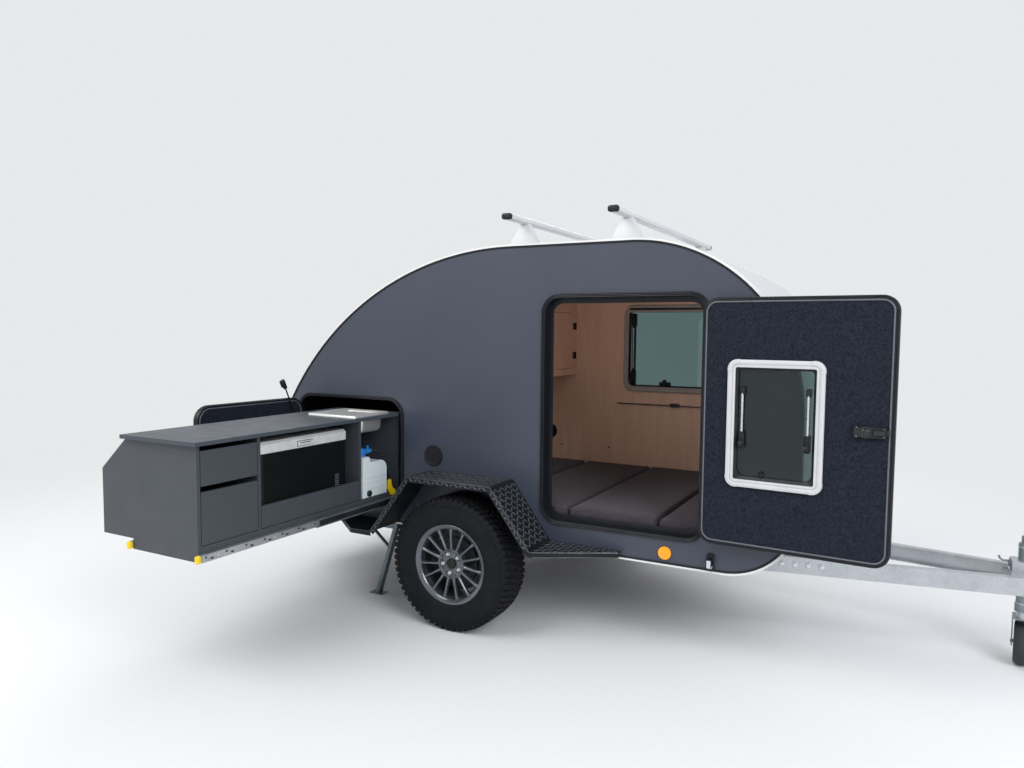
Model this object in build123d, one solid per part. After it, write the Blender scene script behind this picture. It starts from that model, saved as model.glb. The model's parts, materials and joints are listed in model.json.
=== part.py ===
from build123d import *
import math
import os

# Teardrop trailer with a kitchen that slides out sideways.
# All sizes are in millimetres. While it is built, X runs forward from the axle to the coupling,
# Y runs to the left, and Z runs up from the ground. The finished solids are moved so that the
# centre of the coupling's ball socket is the origin.

# Body shell
HALF_WIDTH = 725.0
WALL = 28.0
FLOOR_THICK = 40.0
BOTTOM_Z = 447.0
ROOF_Z = 1942.0
ROOF_REAR_X = 219.0
ROOF_REAR_R = 1736.0
ROOF_FRONT_X = 849.0
ROOF_FRONT_R = 772.0
NOSE_LOW_R = 318.0
TAIL_LOW_R = 200.0
FRONT_JOINT_ANGLE = 45.0
REAR_JOINT_ANGLE = 140.0
TRIM_PROUD = 5.0
TRIM_OUT = 3.0
TRIM_WIDE = 22.0
TRIM_LIP = 9.0
INSIDE = HALF_WIDTH - WALL
BIG = 4000.0

# Wheels
RIM_R = 208.0
TYRE_R = 341.0
TYRE_WIDTH = 215.0
WHEEL_GAP = 17.0
WHEEL_Y = HALF_WIDTH + WHEEL_GAP + TYRE_WIDTH / 2
TYRE_BEAD_R = 190.0
BEAD_IN = 24.0
BEAD_TAPER = 6.0
BULGE_R = 290.0
SHOULDER_IN = 20.0
RIM_SHEET = 9.0
LIP_THICK = 6.0
LIP_R = 176.0
SPOKES = 15
SPOKE_HUB = 10.0
SPOKE_RIM = 13.0
HUB_R = 76.0
HUB_IN = 36.0
HUB_THICK = 54.0

# Entry door and its opening
DOOR_X0 = 400.0
DOOR_X1 = 1226.0
DOOR_Z0 = 564.0
DOOR_Z1 = 1698.0
DOOR_CORNER_R = 95.0
FRAME_FLANGE = 22.0
FRAME_PROUD = 8.0
FRAME_HOLE = 16.0
FRAME_COLLAR = 5.0
FRAME_STOP = 46.0
LEAF_INSET = 34.0
LEAF_THICK = 40.0
LEAF_PROUD = 8.0
LEAF_EDGE = 16.0
DOOR_OPEN = 176.7
DOOR_HINGE_SPACING = 800.0
DOOR_PIN_OUT = 18.0
DOOR_PIN_LIFT = 5.0
DOOR_PIN_SIDE = 9.0
PIN_R = 5.0
DOOR_WINDOW_W = 388.0
DOOR_WINDOW_H = 540.0
DOOR_WINDOW_FROM_HINGE = 310.0
DOOR_WINDOW_UP = 535.0
LATCH_LONG = 118.0
LATCH_HIGH = 44.0
LATCH_THICK = 15.0
HANDLE_THICK = 5.0

CATCH_X = 1240.0
CATCH_Z = 454.0
CATCH_WIDE = 26.0
CATCH_HIGH = 76.0
CATCH_OUT = 14.0

# Kitchen opening and its hatch
BAY_X0 = -1210.0
BAY_X1 = -436.0
BAY_Z0 = 530.0
BAY_Z1 = 1145.0
BAY_TOP_R = 105.0
BAY_LOW_R = 55.0
BAY_COLLAR = 3.0
BAY_HOLE = 14.0
HATCH_THICK = 30.0
HATCH_INSET = 27.0
HATCH_OPEN = 92.0
HATCH_PIN_OUT = 20.0
HATCH_IN = 8.0
LAMP_OUT = 105.0
LAMP_Z = 930.0
LAMP_LEAN = 84.0
LAMP_TOP_Z = 1204.0
LAMP_STALK_R = 4.0
LAMP_OFF = 16.0
LAMP_POST = 16.0
LAMP_FOOT_R = 20.0
LAMP_HEAD_R = 12.0
LAMP_HEAD_LONG = 52.0
LAMP_BEND_R = 90.0

# Sliding kitchen
KITCHEN_LONG = 2 * HALF_WIDTH - 80.0
KITCHEN_OUT = KITCHEN_LONG - 45.0
KITCHEN_TRAVEL = KITCHEN_LONG
FRONT_X = -496.0
TOP_OVERHANG = 23.0
TOP_REAR_X = -936.0
REAR_X = -1102.0
CHAMFER_Z = 902.0
SKIRT_Z = 614.0
PLINTH_X = -902.0
PLINTH_Z = 568.0
TOP_Z = 1062.0
TOP_THICK = 17.0
BOARD = 16.0
DRAWER_BAY = 341.0
CAN_BAY = 350.0
DRAWER_SPLIT = KITCHEN_OUT - DRAWER_BAY
CAN_SPLIT = KITCHEN_OUT - KITCHEN_LONG + CAN_BAY
DRAWER_GAP = 24.0
DRAWER_EDGE_Z = 852.0
DRAWER_SHEET = 10.0
PIECE_GAP = 3.0
DRAWER_TRAVEL = 380.0
DRAWER_DEEP = 420.0
TRAY_TRAVEL = 400.0
TRAY_Z = 733.0
TRAY_THICK = 12.0
COOL_WALL = 30.0
COOL_DEEP = 340.0
COOL_FROM = 9.0
COOL_REST = 73.0
COOL_LONG = DRAWER_SPLIT - CAN_SPLIT - BOARD - PIECE_GAP - COOL_FROM - COOL_REST
COOL_CORNER_R = 22.0
COOL_TOP_Z = 960.0
COOL_LID = 52.0
COOL_LID_OVER = 5.0
COOL_LID_CHAMFER = 12.0
CAN_DEEP = 300.0
CAN_LONG = 200.0
CAN_FROM = 37.0
CAN_INSET = 6.0
CAN_TOP_Z = 815.0
CAN_NECK_Z = 846.0
CAN_NECK_LONG = 52.0
CAN_SHOULDER_R = 50.0
CAN_CAP_R = 25.0
CAN_CAP_HIGH = 40.0
TAP_R = 11.0
SINK_DEEP = 322.0
SINK_LONG = 300.0
SINK_FROM = 55.0
SINK_INSET = 14.0
SINK_HIGH = 12.0
BOWL_DEEP = 240.0
BOWL_LONG = 186.0
BOWL_SIDE = 5.0
BOWL_DROP = 94.0
BOWL_SHEET = 3.0
BOWL_INSET = 40.0
HOSE_R = 5.0
GROMMET_R = 10.0
GROMMET_HIGH = 5.0

# The route of the can's free hose, from the tap to the grommet in the kitchen's floor, as X,
# distance out from the body's side, and Z
HOSE_ROUTE = (
    (-550.0, 150.0, 867.0),
    (-550.0, 106.0, 867.0),
    (-551.0, 50.0, 832.0),
    (-548.0, 8.0, 773.0),
    (-531.0, -11.0, 700.0),
    (-531.0, -11.0, 635.0),
)
RAIL_START = 12.0
RAIL_LONG = 2 * INSIDE - 59.0
RAIL_Z = 585.0
RAIL_HALF = 23.0
RAIL_STACK = 30.0
RAIL_SHEET = 2.5

# Chassis
BEAM_HIGH = 80.0
BEAM_FLANGE = 40.0
BEAM_SHEET = 4.0
RAIL_Y = HALF_WIDTH - 125.0
RAIL_REAR_X = -1150.0
CROSS_X = 150.0
CROSS_LONG = 60.0
APEX_X = 2923.0
APEX_HALF = 50.0
BEAM_SLOPE = 0.1825
BEAM_SPARE = 200.0
DRAWBAR_CROSS_X = 1300.0
DRAWBAR_CROSS_LONG = 40.0
BALL_X = APEX_X + 217.0
BALL_Z = 430.0
BALL_R = 25.2

# Axle
AXLE_TUBE = 60.0
AXLE_TUBE_X = 165.0
AXLE_TUBE_Z = 337.0
ARM_Y = HALF_WIDTH - 25.0
ARM_THICK = 22.0
# The trailing arm's corners, as X and Z from the centre of the axle tube, then from that of the stub
ARM_AT_TUBE = ((38.0, -35.0), (38.0, 35.0), (-38.0, 39.0))
ARM_AT_STUB = ((-36.0, 33.0), (-36.0, -35.0), (38.0, -37.0))
STUB_R = 20.0

# Jockey wheel
JOCKEY_X = APEX_X - 423.0
JOCKEY_TUBE_R = 30.0
JOCKEY_INNER_R = 24.0
JOCKEY_WHEEL_R = 100.0
JOCKEY_WHEEL_WIDE = 60.0
JOCKEY_TRAIL = 45.0
JOCKEY_LIFT = 130.0
JOCKEY_JACK = 150.0
RUNNING_GAP = 0.05
JOCKEY_TUBE_Z0 = 262.0
JOCKEY_TUBE_Z1 = 575.0
JOCKEY_HEAD_HIGH = 32.0
JOCKEY_HEAD_R = 20.0
JOCKEY_SCREW_R = 12.0
JOCKEY_SCREW_Z = 645.0
JOCKEY_CRANK = 108.0
JOCKEY_SWIVEL = -97.0
JOCKEY_FORK_BACK = 70.0
JOCKEY_FORK_FRONT = 28.0
JOCKEY_COLLAR_R = 34.0
JOCKEY_COLLAR_HIGH = 34.0

# Rear steady legs
STEADY_X = -530.0
STEADY_Y = HALF_WIDTH - 60.0
STEADY_Z = 405.0
STEADY_FOOT_X = STEADY_X - 130.0
STEADY_TRACK = 380.0
STEADY_WIDE = 50.0
LEG_WIDE = 36.0
LEG_DEEP = 22.0
BRACE_AT = 140.0
BRACE_LONG = 210.0
BRACE_WIDE = 20.0

# Roof bars
BAR_XS = (272.0, 812.0)
BAR_Z = 2050.0
BAR_WIDE = 50.0
BAR_HIGH = 28.0
BAR_HALF_LONG = HALF_WIDTH + 140.0
BAR_FOOT_Y = HALF_WIDTH - 65.0
BAR_FOOT_BASE = 150.0
BAR_FOOT_TOP = 46.0
BAR_FOOT_DEEP = 70.0
BAR_CORNER_R = 10.0
BAR_FOOT_NECK = 34.0

# Mudguards
GUARD_TOP_Z = 765.0
GUARD_TOP_X = 245.0
GUARD_LOW_X = 460.0
GUARD_LOW_Z = 480.0
GUARD_STEP_X = 830.0
GUARD_WIDE = 240.0
GUARD_SHEET = 4.0
GUARD_LIP = 24.0

# Inside the cabin
BULKHEAD_X = -466.0
PLY = 15.0
SHELF_Z = 1160.0
BED_Z = 530.0
BED_RIBS = (-200.0, 250.0, 700.0, 1150.0)
MATTRESS_Z = 645.0
MATTRESS_SEAMS = (75.0, 530.0, 985.0)
SEAM_GAP = 4.0
CABINET_X = -25.0
CABINET_Z = 1228.0
CABINET_DOOR = 18.0
CABINET_DOOR_TOP = 1640.0
CABINET_SIDE = 30.0
CABINET_PIN_R = 5.0
CABINET_PIN_HALF = 3.5
CABINET_PIN_LONG = 46.0
CABINET_PIN_END = 85.0
WINDOW_X0 = 320.0
WINDOW_X1 = 1220.0
WINDOW_Z0 = 1131.0
WINDOW_Z1 = 1696.0

# Small fittings
VENT_X = -238.0
VENT_Z = 845.0
VENT_R = 56.0
REFLECTOR_X = 1042.0
REFLECTOR_Z = 503.0
REFLECTOR_R = 30.0
REAR_BAR_HALF = HALF_WIDTH - 75.0
REAR_BAR_TOP = BOTTOM_Z - 10.0
REAR_BAR_HIGH = 80.0
REAR_BAR_THICK = 30.0
REAR_LAMP_LONG = 220.0
REAR_LAMP_THICK = 30.0
REAR_ARM_WIDE = 30.0


def drawn_xz(shape, y0, y1):
    """A shape drawn in X and Z, made solid from y0 to y1."""
    plane = Plane(origin=(0, y1, 0), x_dir=(1, 0, 0), z_dir=(0, -1, 0))
    return extrude(plane * shape, y1 - y0)


def drawn_yz(shape, x0, x1):
    """A shape drawn in Y and Z, made solid from x0 to x1."""
    plane = Plane(origin=(x0, 0, 0), x_dir=(0, 1, 0), z_dir=(1, 0, 0))
    return extrude(plane * shape, x1 - x0)


def drawn_xy(shape, z0, z1):
    """A shape drawn in X and Y, made solid from z0 to z1."""
    return extrude(Plane.XY.offset(z0) * shape, z1 - z0)


def block(x0, x1, y0, y1, z0, z1):
    size = (x1 - x0, y1 - y0, z1 - z0)
    return Pos((x0 + x1) / 2, (y0 + y1) / 2, (z0 + z1) / 2) * Box(*size)


def outside_block(x0, x1, out0, out1, z0, z1):
    return block(x0, x1, out_from_side(out1), out_from_side(out0), z0, z1)


def rect(x0, x1, z0, z1, radius=0.0):
    centre = Pos((x0 + x1) / 2, (z0 + z1) / 2)
    if radius <= 0:
        return centre * Rectangle(x1 - x0, z1 - z0)
    return centre * RectangleRounded(x1 - x0, z1 - z0, radius)


def tube_y(x, z, radius, y0, y1):
    return drawn_xz(Pos(x, z) * Circle(radius), y0, y1)


def tube_z(x, y, radius, z0, z1):
    return drawn_xy(Pos(x, y) * Circle(radius), z0, z1)


def polygon(points):
    return make_face(Polyline(*points, close=True))


def strip(points, thick):
    """A sheet bent along a line of points, with its thickness on the inner side."""
    inner = []
    for i, (x, z) in enumerate(points):
        before = points[max(i - 1, 0)]
        after = points[min(i + 1, len(points) - 1)]
        normals = []
        for a, b in ((before, (x, z)), ((x, z), after)):
            length = math.hypot(b[0] - a[0], b[1] - a[1])
            if length > 0:
                normals.append(((b[1] - a[1]) / length, -(b[0] - a[0]) / length))
        nx = sum(n[0] for n in normals)
        nz = sum(n[1] for n in normals)
        scale = thick * len(normals) / (nx * nx + nz * nz)
        inner.append((x + nx * scale, z + nz * scale))
    return polygon(list(points) + inner[::-1])


def body_outline(inset):
    """The side view of the body, drawn in by an inset."""
    rear_centre = (ROOF_REAR_X, ROOF_Z - ROOF_REAR_R)
    rear_r = ROOF_REAR_R - inset
    tail_z = BOTTOM_Z + TAIL_LOW_R
    reach = ROOF_REAR_R - TAIL_LOW_R
    tail_x = rear_centre[0] - math.sqrt(reach ** 2 - (tail_z - rear_centre[1]) ** 2)
    tail_angle = math.atan2(tail_z - rear_centre[1], tail_x - rear_centre[0])
    front_centre = (ROOF_FRONT_X, ROOF_Z - ROOF_FRONT_R)
    front_r = ROOF_FRONT_R - inset
    nose_x = ROOF_FRONT_X + ROOF_FRONT_R
    low_centre = (nose_x - NOSE_LOW_R, BOTTOM_Z + NOSE_LOW_R)
    low_r = NOSE_LOW_R - inset
    tail_r = TAIL_LOW_R - inset

    def arc(centre, radius, start, end):
        angles = (start, (start + end) / 2, end)
        return ThreePointArc(*[
            (centre[0] + radius * math.cos(a), centre[1] + radius * math.sin(a)) for a in angles
        ])

    up = math.pi / 2
    edges = [
        arc((tail_x, tail_z), tail_r, 3 * up, tail_angle),
        arc(rear_centre, rear_r, tail_angle, up),
        arc(front_centre, front_r, up, 0.0),
        arc(low_centre, low_r, 0.0, -up),
    ]
    closed = []
    for edge, following in zip(edges, edges[1:] + edges[:1]):
        closed += [edge, Line(edge @ 1, following @ 0)] if (edge @ 1 - following @ 0).length > 1e-6 else [edge]
    return make_face(closed)


def out_from_side(distance):
    """Y of a plane this far outside the kerb side, which faces -Y."""
    return -HALF_WIDTH - distance


def ring(x0, x1, z0, z1, radius, outer, inner):
    """A frame between two insets of a rounded rectangle."""
    big = rect(x0 + outer, x1 - outer, z0 + outer, z1 - outer, radius - outer)
    small = rect(x0 + inner, x1 - inner, z0 + inner, z1 - inner, max(radius - inner, 8.0))
    return big - small


NODES = {}


def bay_rect(inset):
    """The kitchen's opening, drawn in by an inset: its upper corners are rounder than its lower ones."""
    edges = (BAY_X0 + inset, BAY_X1 - inset)
    low = rect(*edges, BAY_Z0 + inset, BAY_Z1 - inset, BAY_LOW_R - inset)
    top = rect(*edges, BAY_Z0 - BAY_TOP_R, BAY_Z1 - inset, BAY_TOP_R - inset)
    return low & top


def keep(name, *solids):
    NODES[name] = list(solids)


def both_sides(solid):
    return [solid, mirror(solid, about=Plane.XZ)]


def make_shell():
    skin = drawn_xz(body_outline(0) - body_outline(WALL), -INSIDE, INSIDE)
    floor_front = ROOF_FRONT_X + ROOF_FRONT_R - NOSE_LOW_R
    big = BIG
    front_centre_z = ROOF_Z - ROOF_FRONT_R
    front_cut_x = ROOF_FRONT_X + ROOF_FRONT_R * math.sin(math.radians(FRONT_JOINT_ANGLE))
    rear_angle = math.radians(REAR_JOINT_ANGLE)
    rear_cut_x = ROOF_REAR_X + ROOF_REAR_R * math.cos(rear_angle)
    tail_x = body_tail_x()
    front = skin & block(front_cut_x, big, -big, big, front_centre_z, big)
    front += skin & block(floor_front, big, -big, big, 0, front_centre_z)
    roof = skin & block(rear_cut_x, front_cut_x, -big, big, BOTTOM_Z + FLOOR_THICK + 400, big)
    rear = skin & block(-big, rear_cut_x, -big, big, BOTTOM_Z + TAIL_LOW_R, big)
    rear += skin & block(-big, tail_x, -big, big, 0, BOTTOM_Z + TAIL_LOW_R)
    keep("shell_front", front)
    keep("shell_roof", roof)
    keep("shell_rear", rear)
    keep("floor", block(tail_x, floor_front, -INSIDE, INSIDE, BOTTOM_Z, BOTTOM_Z + FLOOR_THICK))


def body_tail_x():
    """Where the floor ends and the tail's lower curve starts."""
    tail_z = BOTTOM_Z + TAIL_LOW_R
    reach = ROOF_REAR_R - TAIL_LOW_R
    return ROOF_REAR_X - math.sqrt(reach ** 2 - (tail_z - ROOF_Z + ROOF_REAR_R) ** 2)


def make_sides():
    side = body_outline(0)
    vent = Pos(VENT_X, VENT_Z) * Circle(VENT_R - 8)
    door_hole = rect(DOOR_X0 + FRAME_HOLE, DOOR_X1 - FRAME_HOLE, DOOR_Z0 + FRAME_HOLE,
                     DOOR_Z1 - FRAME_HOLE, DOOR_CORNER_R - FRAME_HOLE)
    window_hole = rect(WINDOW_X0 + 20, WINDOW_X1 - 20, WINDOW_Z0 + 20, WINDOW_Z1 - 20, 50)
    right = drawn_xz(side - door_hole - bay_rect(BAY_HOLE) - vent, -HALF_WIDTH, -INSIDE)
    left = drawn_xz(side - window_hole - vent, INSIDE, HALF_WIDTH)
    keep("side_right", right)
    keep("side_left", left)
    cap = body_outline(-TRIM_PROUD) - body_outline(0)
    lip = body_outline(0) - body_outline(TRIM_LIP)
    open_below = block(body_tail_x(), ROOF_FRONT_X + ROOF_FRONT_R - NOSE_LOW_R, -BIG, BIG,
                       BOTTOM_Z - 2 * WALL, BOTTOM_Z + 2 * WALL)
    trim = drawn_xz(cap, -HALF_WIDTH - TRIM_OUT, -HALF_WIDTH + TRIM_WIDE)
    trim += drawn_xz(lip, -HALF_WIDTH - TRIM_OUT, -HALF_WIDTH)
    keep("edge_trims", *both_sides(trim - open_below))


def make_openings():
    door = (DOOR_X0, DOOR_X1, DOOR_Z0, DOOR_Z1, DOOR_CORNER_R)
    flange_inner = FRAME_HOLE + FRAME_COLLAR
    frame = drawn_xz(ring(*door, 0, flange_inner), out_from_side(FRAME_PROUD), out_from_side(0))
    stop_out = LEAF_PROUD - LEAF_THICK - 6
    frame += drawn_xz(ring(*door, FRAME_HOLE, flange_inner), out_from_side(0), out_from_side(stop_out - 4))
    frame += drawn_xz(ring(*door, FRAME_HOLE, FRAME_STOP), out_from_side(stop_out), out_from_side(stop_out - 4))
    pin_x = DOOR_X1 - LEAF_INSET + DOOR_PIN_SIDE
    for z in door_hinge_heights():
        frame += tube_hinge(pin_x, z, 45.0)
        frame += block(pin_x - PIN_R, pin_x + PIN_R, out_from_side(DOOR_PIN_OUT), out_from_side(FRAME_PROUD - 1),
                       z - 22.5, z + 22.5)
    keep("door_frame", frame)
    way = bay_rect(BAY_HOLE + BAY_COLLAR)
    bay_frame = drawn_xz(bay_rect(0) - way, out_from_side(FRAME_PROUD), out_from_side(0))
    bay_frame += drawn_xz(bay_rect(BAY_HOLE) - way, out_from_side(0), out_from_side(-WALL))
    keep("kitchen_frame", bay_frame)


def door_hinge_heights():
    middle = (DOOR_Z0 + DOOR_Z1) / 2
    return (middle - DOOR_HINGE_SPACING / 2, middle + DOOR_HINGE_SPACING / 2)


def tube_hinge(x, z, long):
    return tube_z(x, out_from_side(DOOR_PIN_OUT), PIN_R, z - long / 2, z + long / 2)


def door_leaf_rect(extra):
    inset = LEAF_INSET + extra
    return rect(DOOR_X0 + inset, DOOR_X1 - inset, DOOR_Z0 + inset, DOOR_Z1 - inset,
                DOOR_CORNER_R - inset)


def opened(solid):
    """Turn a piece of the entry door from closed to where it stands in the photograph."""
    pin = (DOOR_X1 - LEAF_INSET + DOOR_PIN_SIDE, out_from_side(DOOR_PIN_OUT), 0)
    return solid.rotate(Axis(pin, (0, 0, 1)), DOOR_OPEN)


def make_door():
    out0 = LEAF_PROUD - LEAF_THICK
    hinge_side = DOOR_X1 - LEAF_INSET
    window_x1 = hinge_side - DOOR_WINDOW_FROM_HINGE + DOOR_WINDOW_W / 2
    window_x0 = window_x1 - DOOR_WINDOW_W
    window_z = DOOR_Z0 + LEAF_INSET + DOOR_WINDOW_UP
    z0 = window_z - DOOR_WINDOW_H / 2
    z1 = window_z + DOOR_WINDOW_H / 2
    window = (window_x0, window_x1, z0, z1, 40.0)
    hole = rect(window_x0 + 16, window_x1 - 16, z0 + 16, z1 - 16, 24)
    leaf = drawn_xz(door_leaf_rect(LEAF_EDGE) - hole, out_from_side(LEAF_PROUD - 1), out_from_side(out0 + 1))
    edge = drawn_xz(door_leaf_rect(0) - door_leaf_rect(LEAF_EDGE), out_from_side(LEAF_PROUD),
                    out_from_side(out0))
    pin_x = hinge_side + DOOR_PIN_SIDE
    for z in door_hinge_heights():
        for side in (-1, 1):
            knuckle = z + side * 36.0
            edge += tube_hinge(pin_x, knuckle, 26.0)
            edge += block(hinge_side - LEAF_EDGE + 1, hinge_side - 1, out_from_side(DOOR_PIN_OUT),
                          out_from_side(LEAF_PROUD - 1), knuckle - 13, knuckle + 13)
            edge += block(hinge_side - LEAF_EDGE + 1, pin_x, out_from_side(DOOR_PIN_OUT),
                          out_from_side(DOOR_PIN_OUT - DOOR_PIN_LIFT + 0.5), knuckle - 13, knuckle + 13)
    frame = drawn_xz(ring(*window, 0, 32), out_from_side(out0 + 1), out_from_side(out0 - 11))
    frame += drawn_xz(ring(*window, 16, 32), out_from_side(LEAF_PROUD + 3), out_from_side(out0 + 1))
    pane = drawn_xz(rect(window_x0 + 32, window_x1 - 32, z0 + 32, z1 - 32, 8), out_from_side(-14),
                    out_from_side(-19))
    latch_x = DOOR_X0 + LEAF_INSET + LEAF_EDGE + 10
    latch_z = window_z
    latch = drawn_xz(rect(latch_x, latch_x + LATCH_LONG, latch_z - LATCH_HIGH / 2, latch_z + LATCH_HIGH / 2),
                     out_from_side(out0 + 1), out_from_side(out0 - LATCH_THICK))
    handle = drawn_xz(rect(latch_x, latch_x + LATCH_LONG, latch_z - LATCH_HIGH, latch_z + LATCH_HIGH),
                      out_from_side(LEAF_PROUD + HANDLE_THICK), out_from_side(LEAF_PROUD - 1))
    keep("door_panel", opened(leaf))
    keep("door_edge", opened(edge))
    keep("door_window_frame", opened(frame))
    keep("door_window_pane", opened(pane))
    keep("door_latch", opened(latch), opened(handle))


def make_catch():
    """The catch on the body's side that holds the open door, with its hook."""
    catch = outside_block(CATCH_X, CATCH_X + CATCH_WIDE, 0, CATCH_OUT, CATCH_Z, CATCH_Z + CATCH_HIGH)
    catch -= outside_block(CATCH_X + 8, CATCH_X + CATCH_WIDE - 8, 8, BIG, CATCH_Z + 12, CATCH_Z + CATCH_HIGH - 12)
    keep("door_catch", catch)


def make_hatch():
    panel = drawn_xz(bay_rect(HATCH_INSET), out_from_side(HATCH_IN), out_from_side(HATCH_IN - HATCH_THICK))
    pin = hatch_pin()
    panel = panel.rotate(Axis(pin, (0, 0, 1)), -HATCH_OPEN)
    for z in (BAY_Z0 + 120, BAY_Z1 - 120):
        panel += tube_z(pin[0], pin[1], PIN_R + 1, z - 40, z + 40)
        panel += block(pin[0] + 4, pin[0] + 26, pin[1] - 14, pin[1] + 5, z - 40, z + 40)
    keep("hatch", panel)


def make_cabin():
    bulkhead = block(BULKHEAD_X, BULKHEAD_X + PLY, -INSIDE, INSIDE, BOTTOM_Z + FLOOR_THICK, SHELF_Z)
    inside = drawn_xz(body_outline(WALL), -INSIDE, INSIDE)
    shelf = block(-BIG, BULKHEAD_X + PLY, -INSIDE, INSIDE, SHELF_Z, SHELF_Z + PLY) & inside
    back = block(CABINET_X - PLY, CABINET_X, -INSIDE, INSIDE, CABINET_Z, BIG) & inside
    base = block(-BIG, CABINET_X - PLY, -INSIDE, INSIDE, CABINET_Z, CABINET_Z + PLY) & inside
    door_hole = cabinet_door_outline(-3)
    for side in (-1, 1):
        back -= drawn_yz(Pos(side * cabinet_door_centre(), 0) * door_hole, CABINET_X - PLY - 1, CABINET_X + 1)
    keep("rear_furniture", bulkhead + shelf)
    keep("overhead_cabinet", back + base)
    for name, side in (("cabinet_door_right", -1), ("cabinet_door_left", 1)):
        door = drawn_yz(Pos(side * cabinet_door_centre(), 0) * cabinet_door_outline(0),
                        CABINET_X - PLY, CABINET_X)
        pin_y = side * (INSIDE - CABINET_SIDE)
        for z in (CABINET_Z + 45 + CABINET_PIN_END, CABINET_DOOR_TOP - CABINET_PIN_END):
            half = CABINET_PIN_LONG / 2
            pin = CABINET_PIN_HALF
            door += block(CABINET_X + CABINET_PIN_R - pin, CABINET_X + CABINET_PIN_R + pin, pin_y - pin, pin_y + pin,
                          z - half, z + half)
            y0, y1 = sorted((pin_y, pin_y - side * 40))
            door += block(CABINET_X - 1, CABINET_X + 3, y0, y1, z - half, z + half)
        keep(name, door)
    nose = ROOF_FRONT_X + ROOF_FRONT_R - WALL
    board = block(BULKHEAD_X + PLY, nose, -INSIDE, INSIDE, BED_Z - PLY, BED_Z)
    for x in BED_RIBS:
        board += block(x, x + PLY, -INSIDE, INSIDE, BOTTOM_Z + FLOOR_THICK, BED_Z - PLY)
    keep("bed_base", board & inside)
    ends = [BULKHEAD_X + PLY + 6] + list(MATTRESS_SEAMS) + [nose - 10]
    cushions = []
    for x0, x1 in zip(ends, ends[1:]):
        cushion = block(x0 + SEAM_GAP / 2, x1 - SEAM_GAP / 2, -INSIDE + 18, INSIDE - 14, BED_Z, MATTRESS_Z)
        cushions.append(cushion & drawn_xz(body_outline(WALL + 8), -INSIDE, INSIDE))
    keep("mattress", *cushions)
    window = (WINDOW_X0, WINDOW_X1, WINDOW_Z0, WINDOW_Z1, 70.0)
    frame = drawn_xz(ring(*window, 0, 32), INSIDE - 12, INSIDE)
    frame += drawn_xz(ring(*window, 20, 32), INSIDE, HALF_WIDTH + 8)
    keep("window_frame_left", frame)
    pane = rect(WINDOW_X0 + 32, WINDOW_X1 - 32, WINDOW_Z0 + 32, WINDOW_Z1 - 32, 38)
    keep("window_pane_left", drawn_xz(pane, HALF_WIDTH - 4, HALF_WIDTH + 1))


def hatch_pin():
    return (BAY_X0 + HATCH_INSET - 7, out_from_side(HATCH_PIN_OUT), 0)


def make_lamp():
    """A thin lamp on a bent stalk, standing on the open hatch's inner face."""
    slope = math.radians(HATCH_OPEN - 90)
    normal = (math.cos(slope), -math.sin(slope))
    pin = hatch_pin()
    face_off = HATCH_PIN_OUT - HATCH_IN + HATCH_THICK
    along = (LAMP_OUT - HATCH_PIN_OUT - face_off * math.sin(slope)) / math.cos(slope)
    face_x = pin[0] - along * math.sin(slope) + face_off * normal[0]
    turn = Rot(0, 0, -math.degrees(slope)) * Rot(0, 90, 0)
    on_face = (face_x, out_from_side(LAMP_OUT))

    def off_face(distance, out_more=0.0):
        return (on_face[0] + distance * normal[0], on_face[1] + distance * normal[1] - out_more)

    foot = Pos(*off_face(3), LAMP_Z) * turn * Cylinder(LAMP_FOOT_R, 6)
    foot += Pos(*off_face(LAMP_OFF / 2 + 2), LAMP_Z) * turn * Box(LAMP_POST, LAMP_POST, LAMP_OFF + 4)
    start = (*off_face(LAMP_OFF), LAMP_Z)
    middle = (*off_face(LAMP_OFF, LAMP_LEAN * 0.25), (LAMP_Z + LAMP_TOP_Z) / 2)
    end = (*off_face(LAMP_OFF, LAMP_LEAN), LAMP_TOP_Z)
    path = FilletPolyline(start, middle, end, radius=LAMP_BEND_R)
    stalk = sweep(Plane(origin=start, z_dir=path % 0) * Circle(LAMP_STALK_R), path=path)
    head = Pos(*end) * Rot(25, 0, 0) * Cylinder(LAMP_HEAD_R, LAMP_HEAD_LONG)
    keep("kitchen_lamp", foot + stalk + head)


def cabinet_door_centre():
    return INSIDE / 2


def cabinet_door_outline(inset):
    wide = INSIDE - 2 * CABINET_SIDE
    return rect(-wide / 2 + inset, wide / 2 - inset, CABINET_Z + 45 + inset, CABINET_DOOR_TOP - inset, 60)


def flare(centre, base, top):
    """A roof bar's foot seen from one side."""
    return polygon([(centre - base / 2, ROOF_Z), (centre + base / 2, ROOF_Z), (centre + top / 2, BAR_Z + 1),
                    (centre - top / 2, BAR_Z + 1)])


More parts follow.
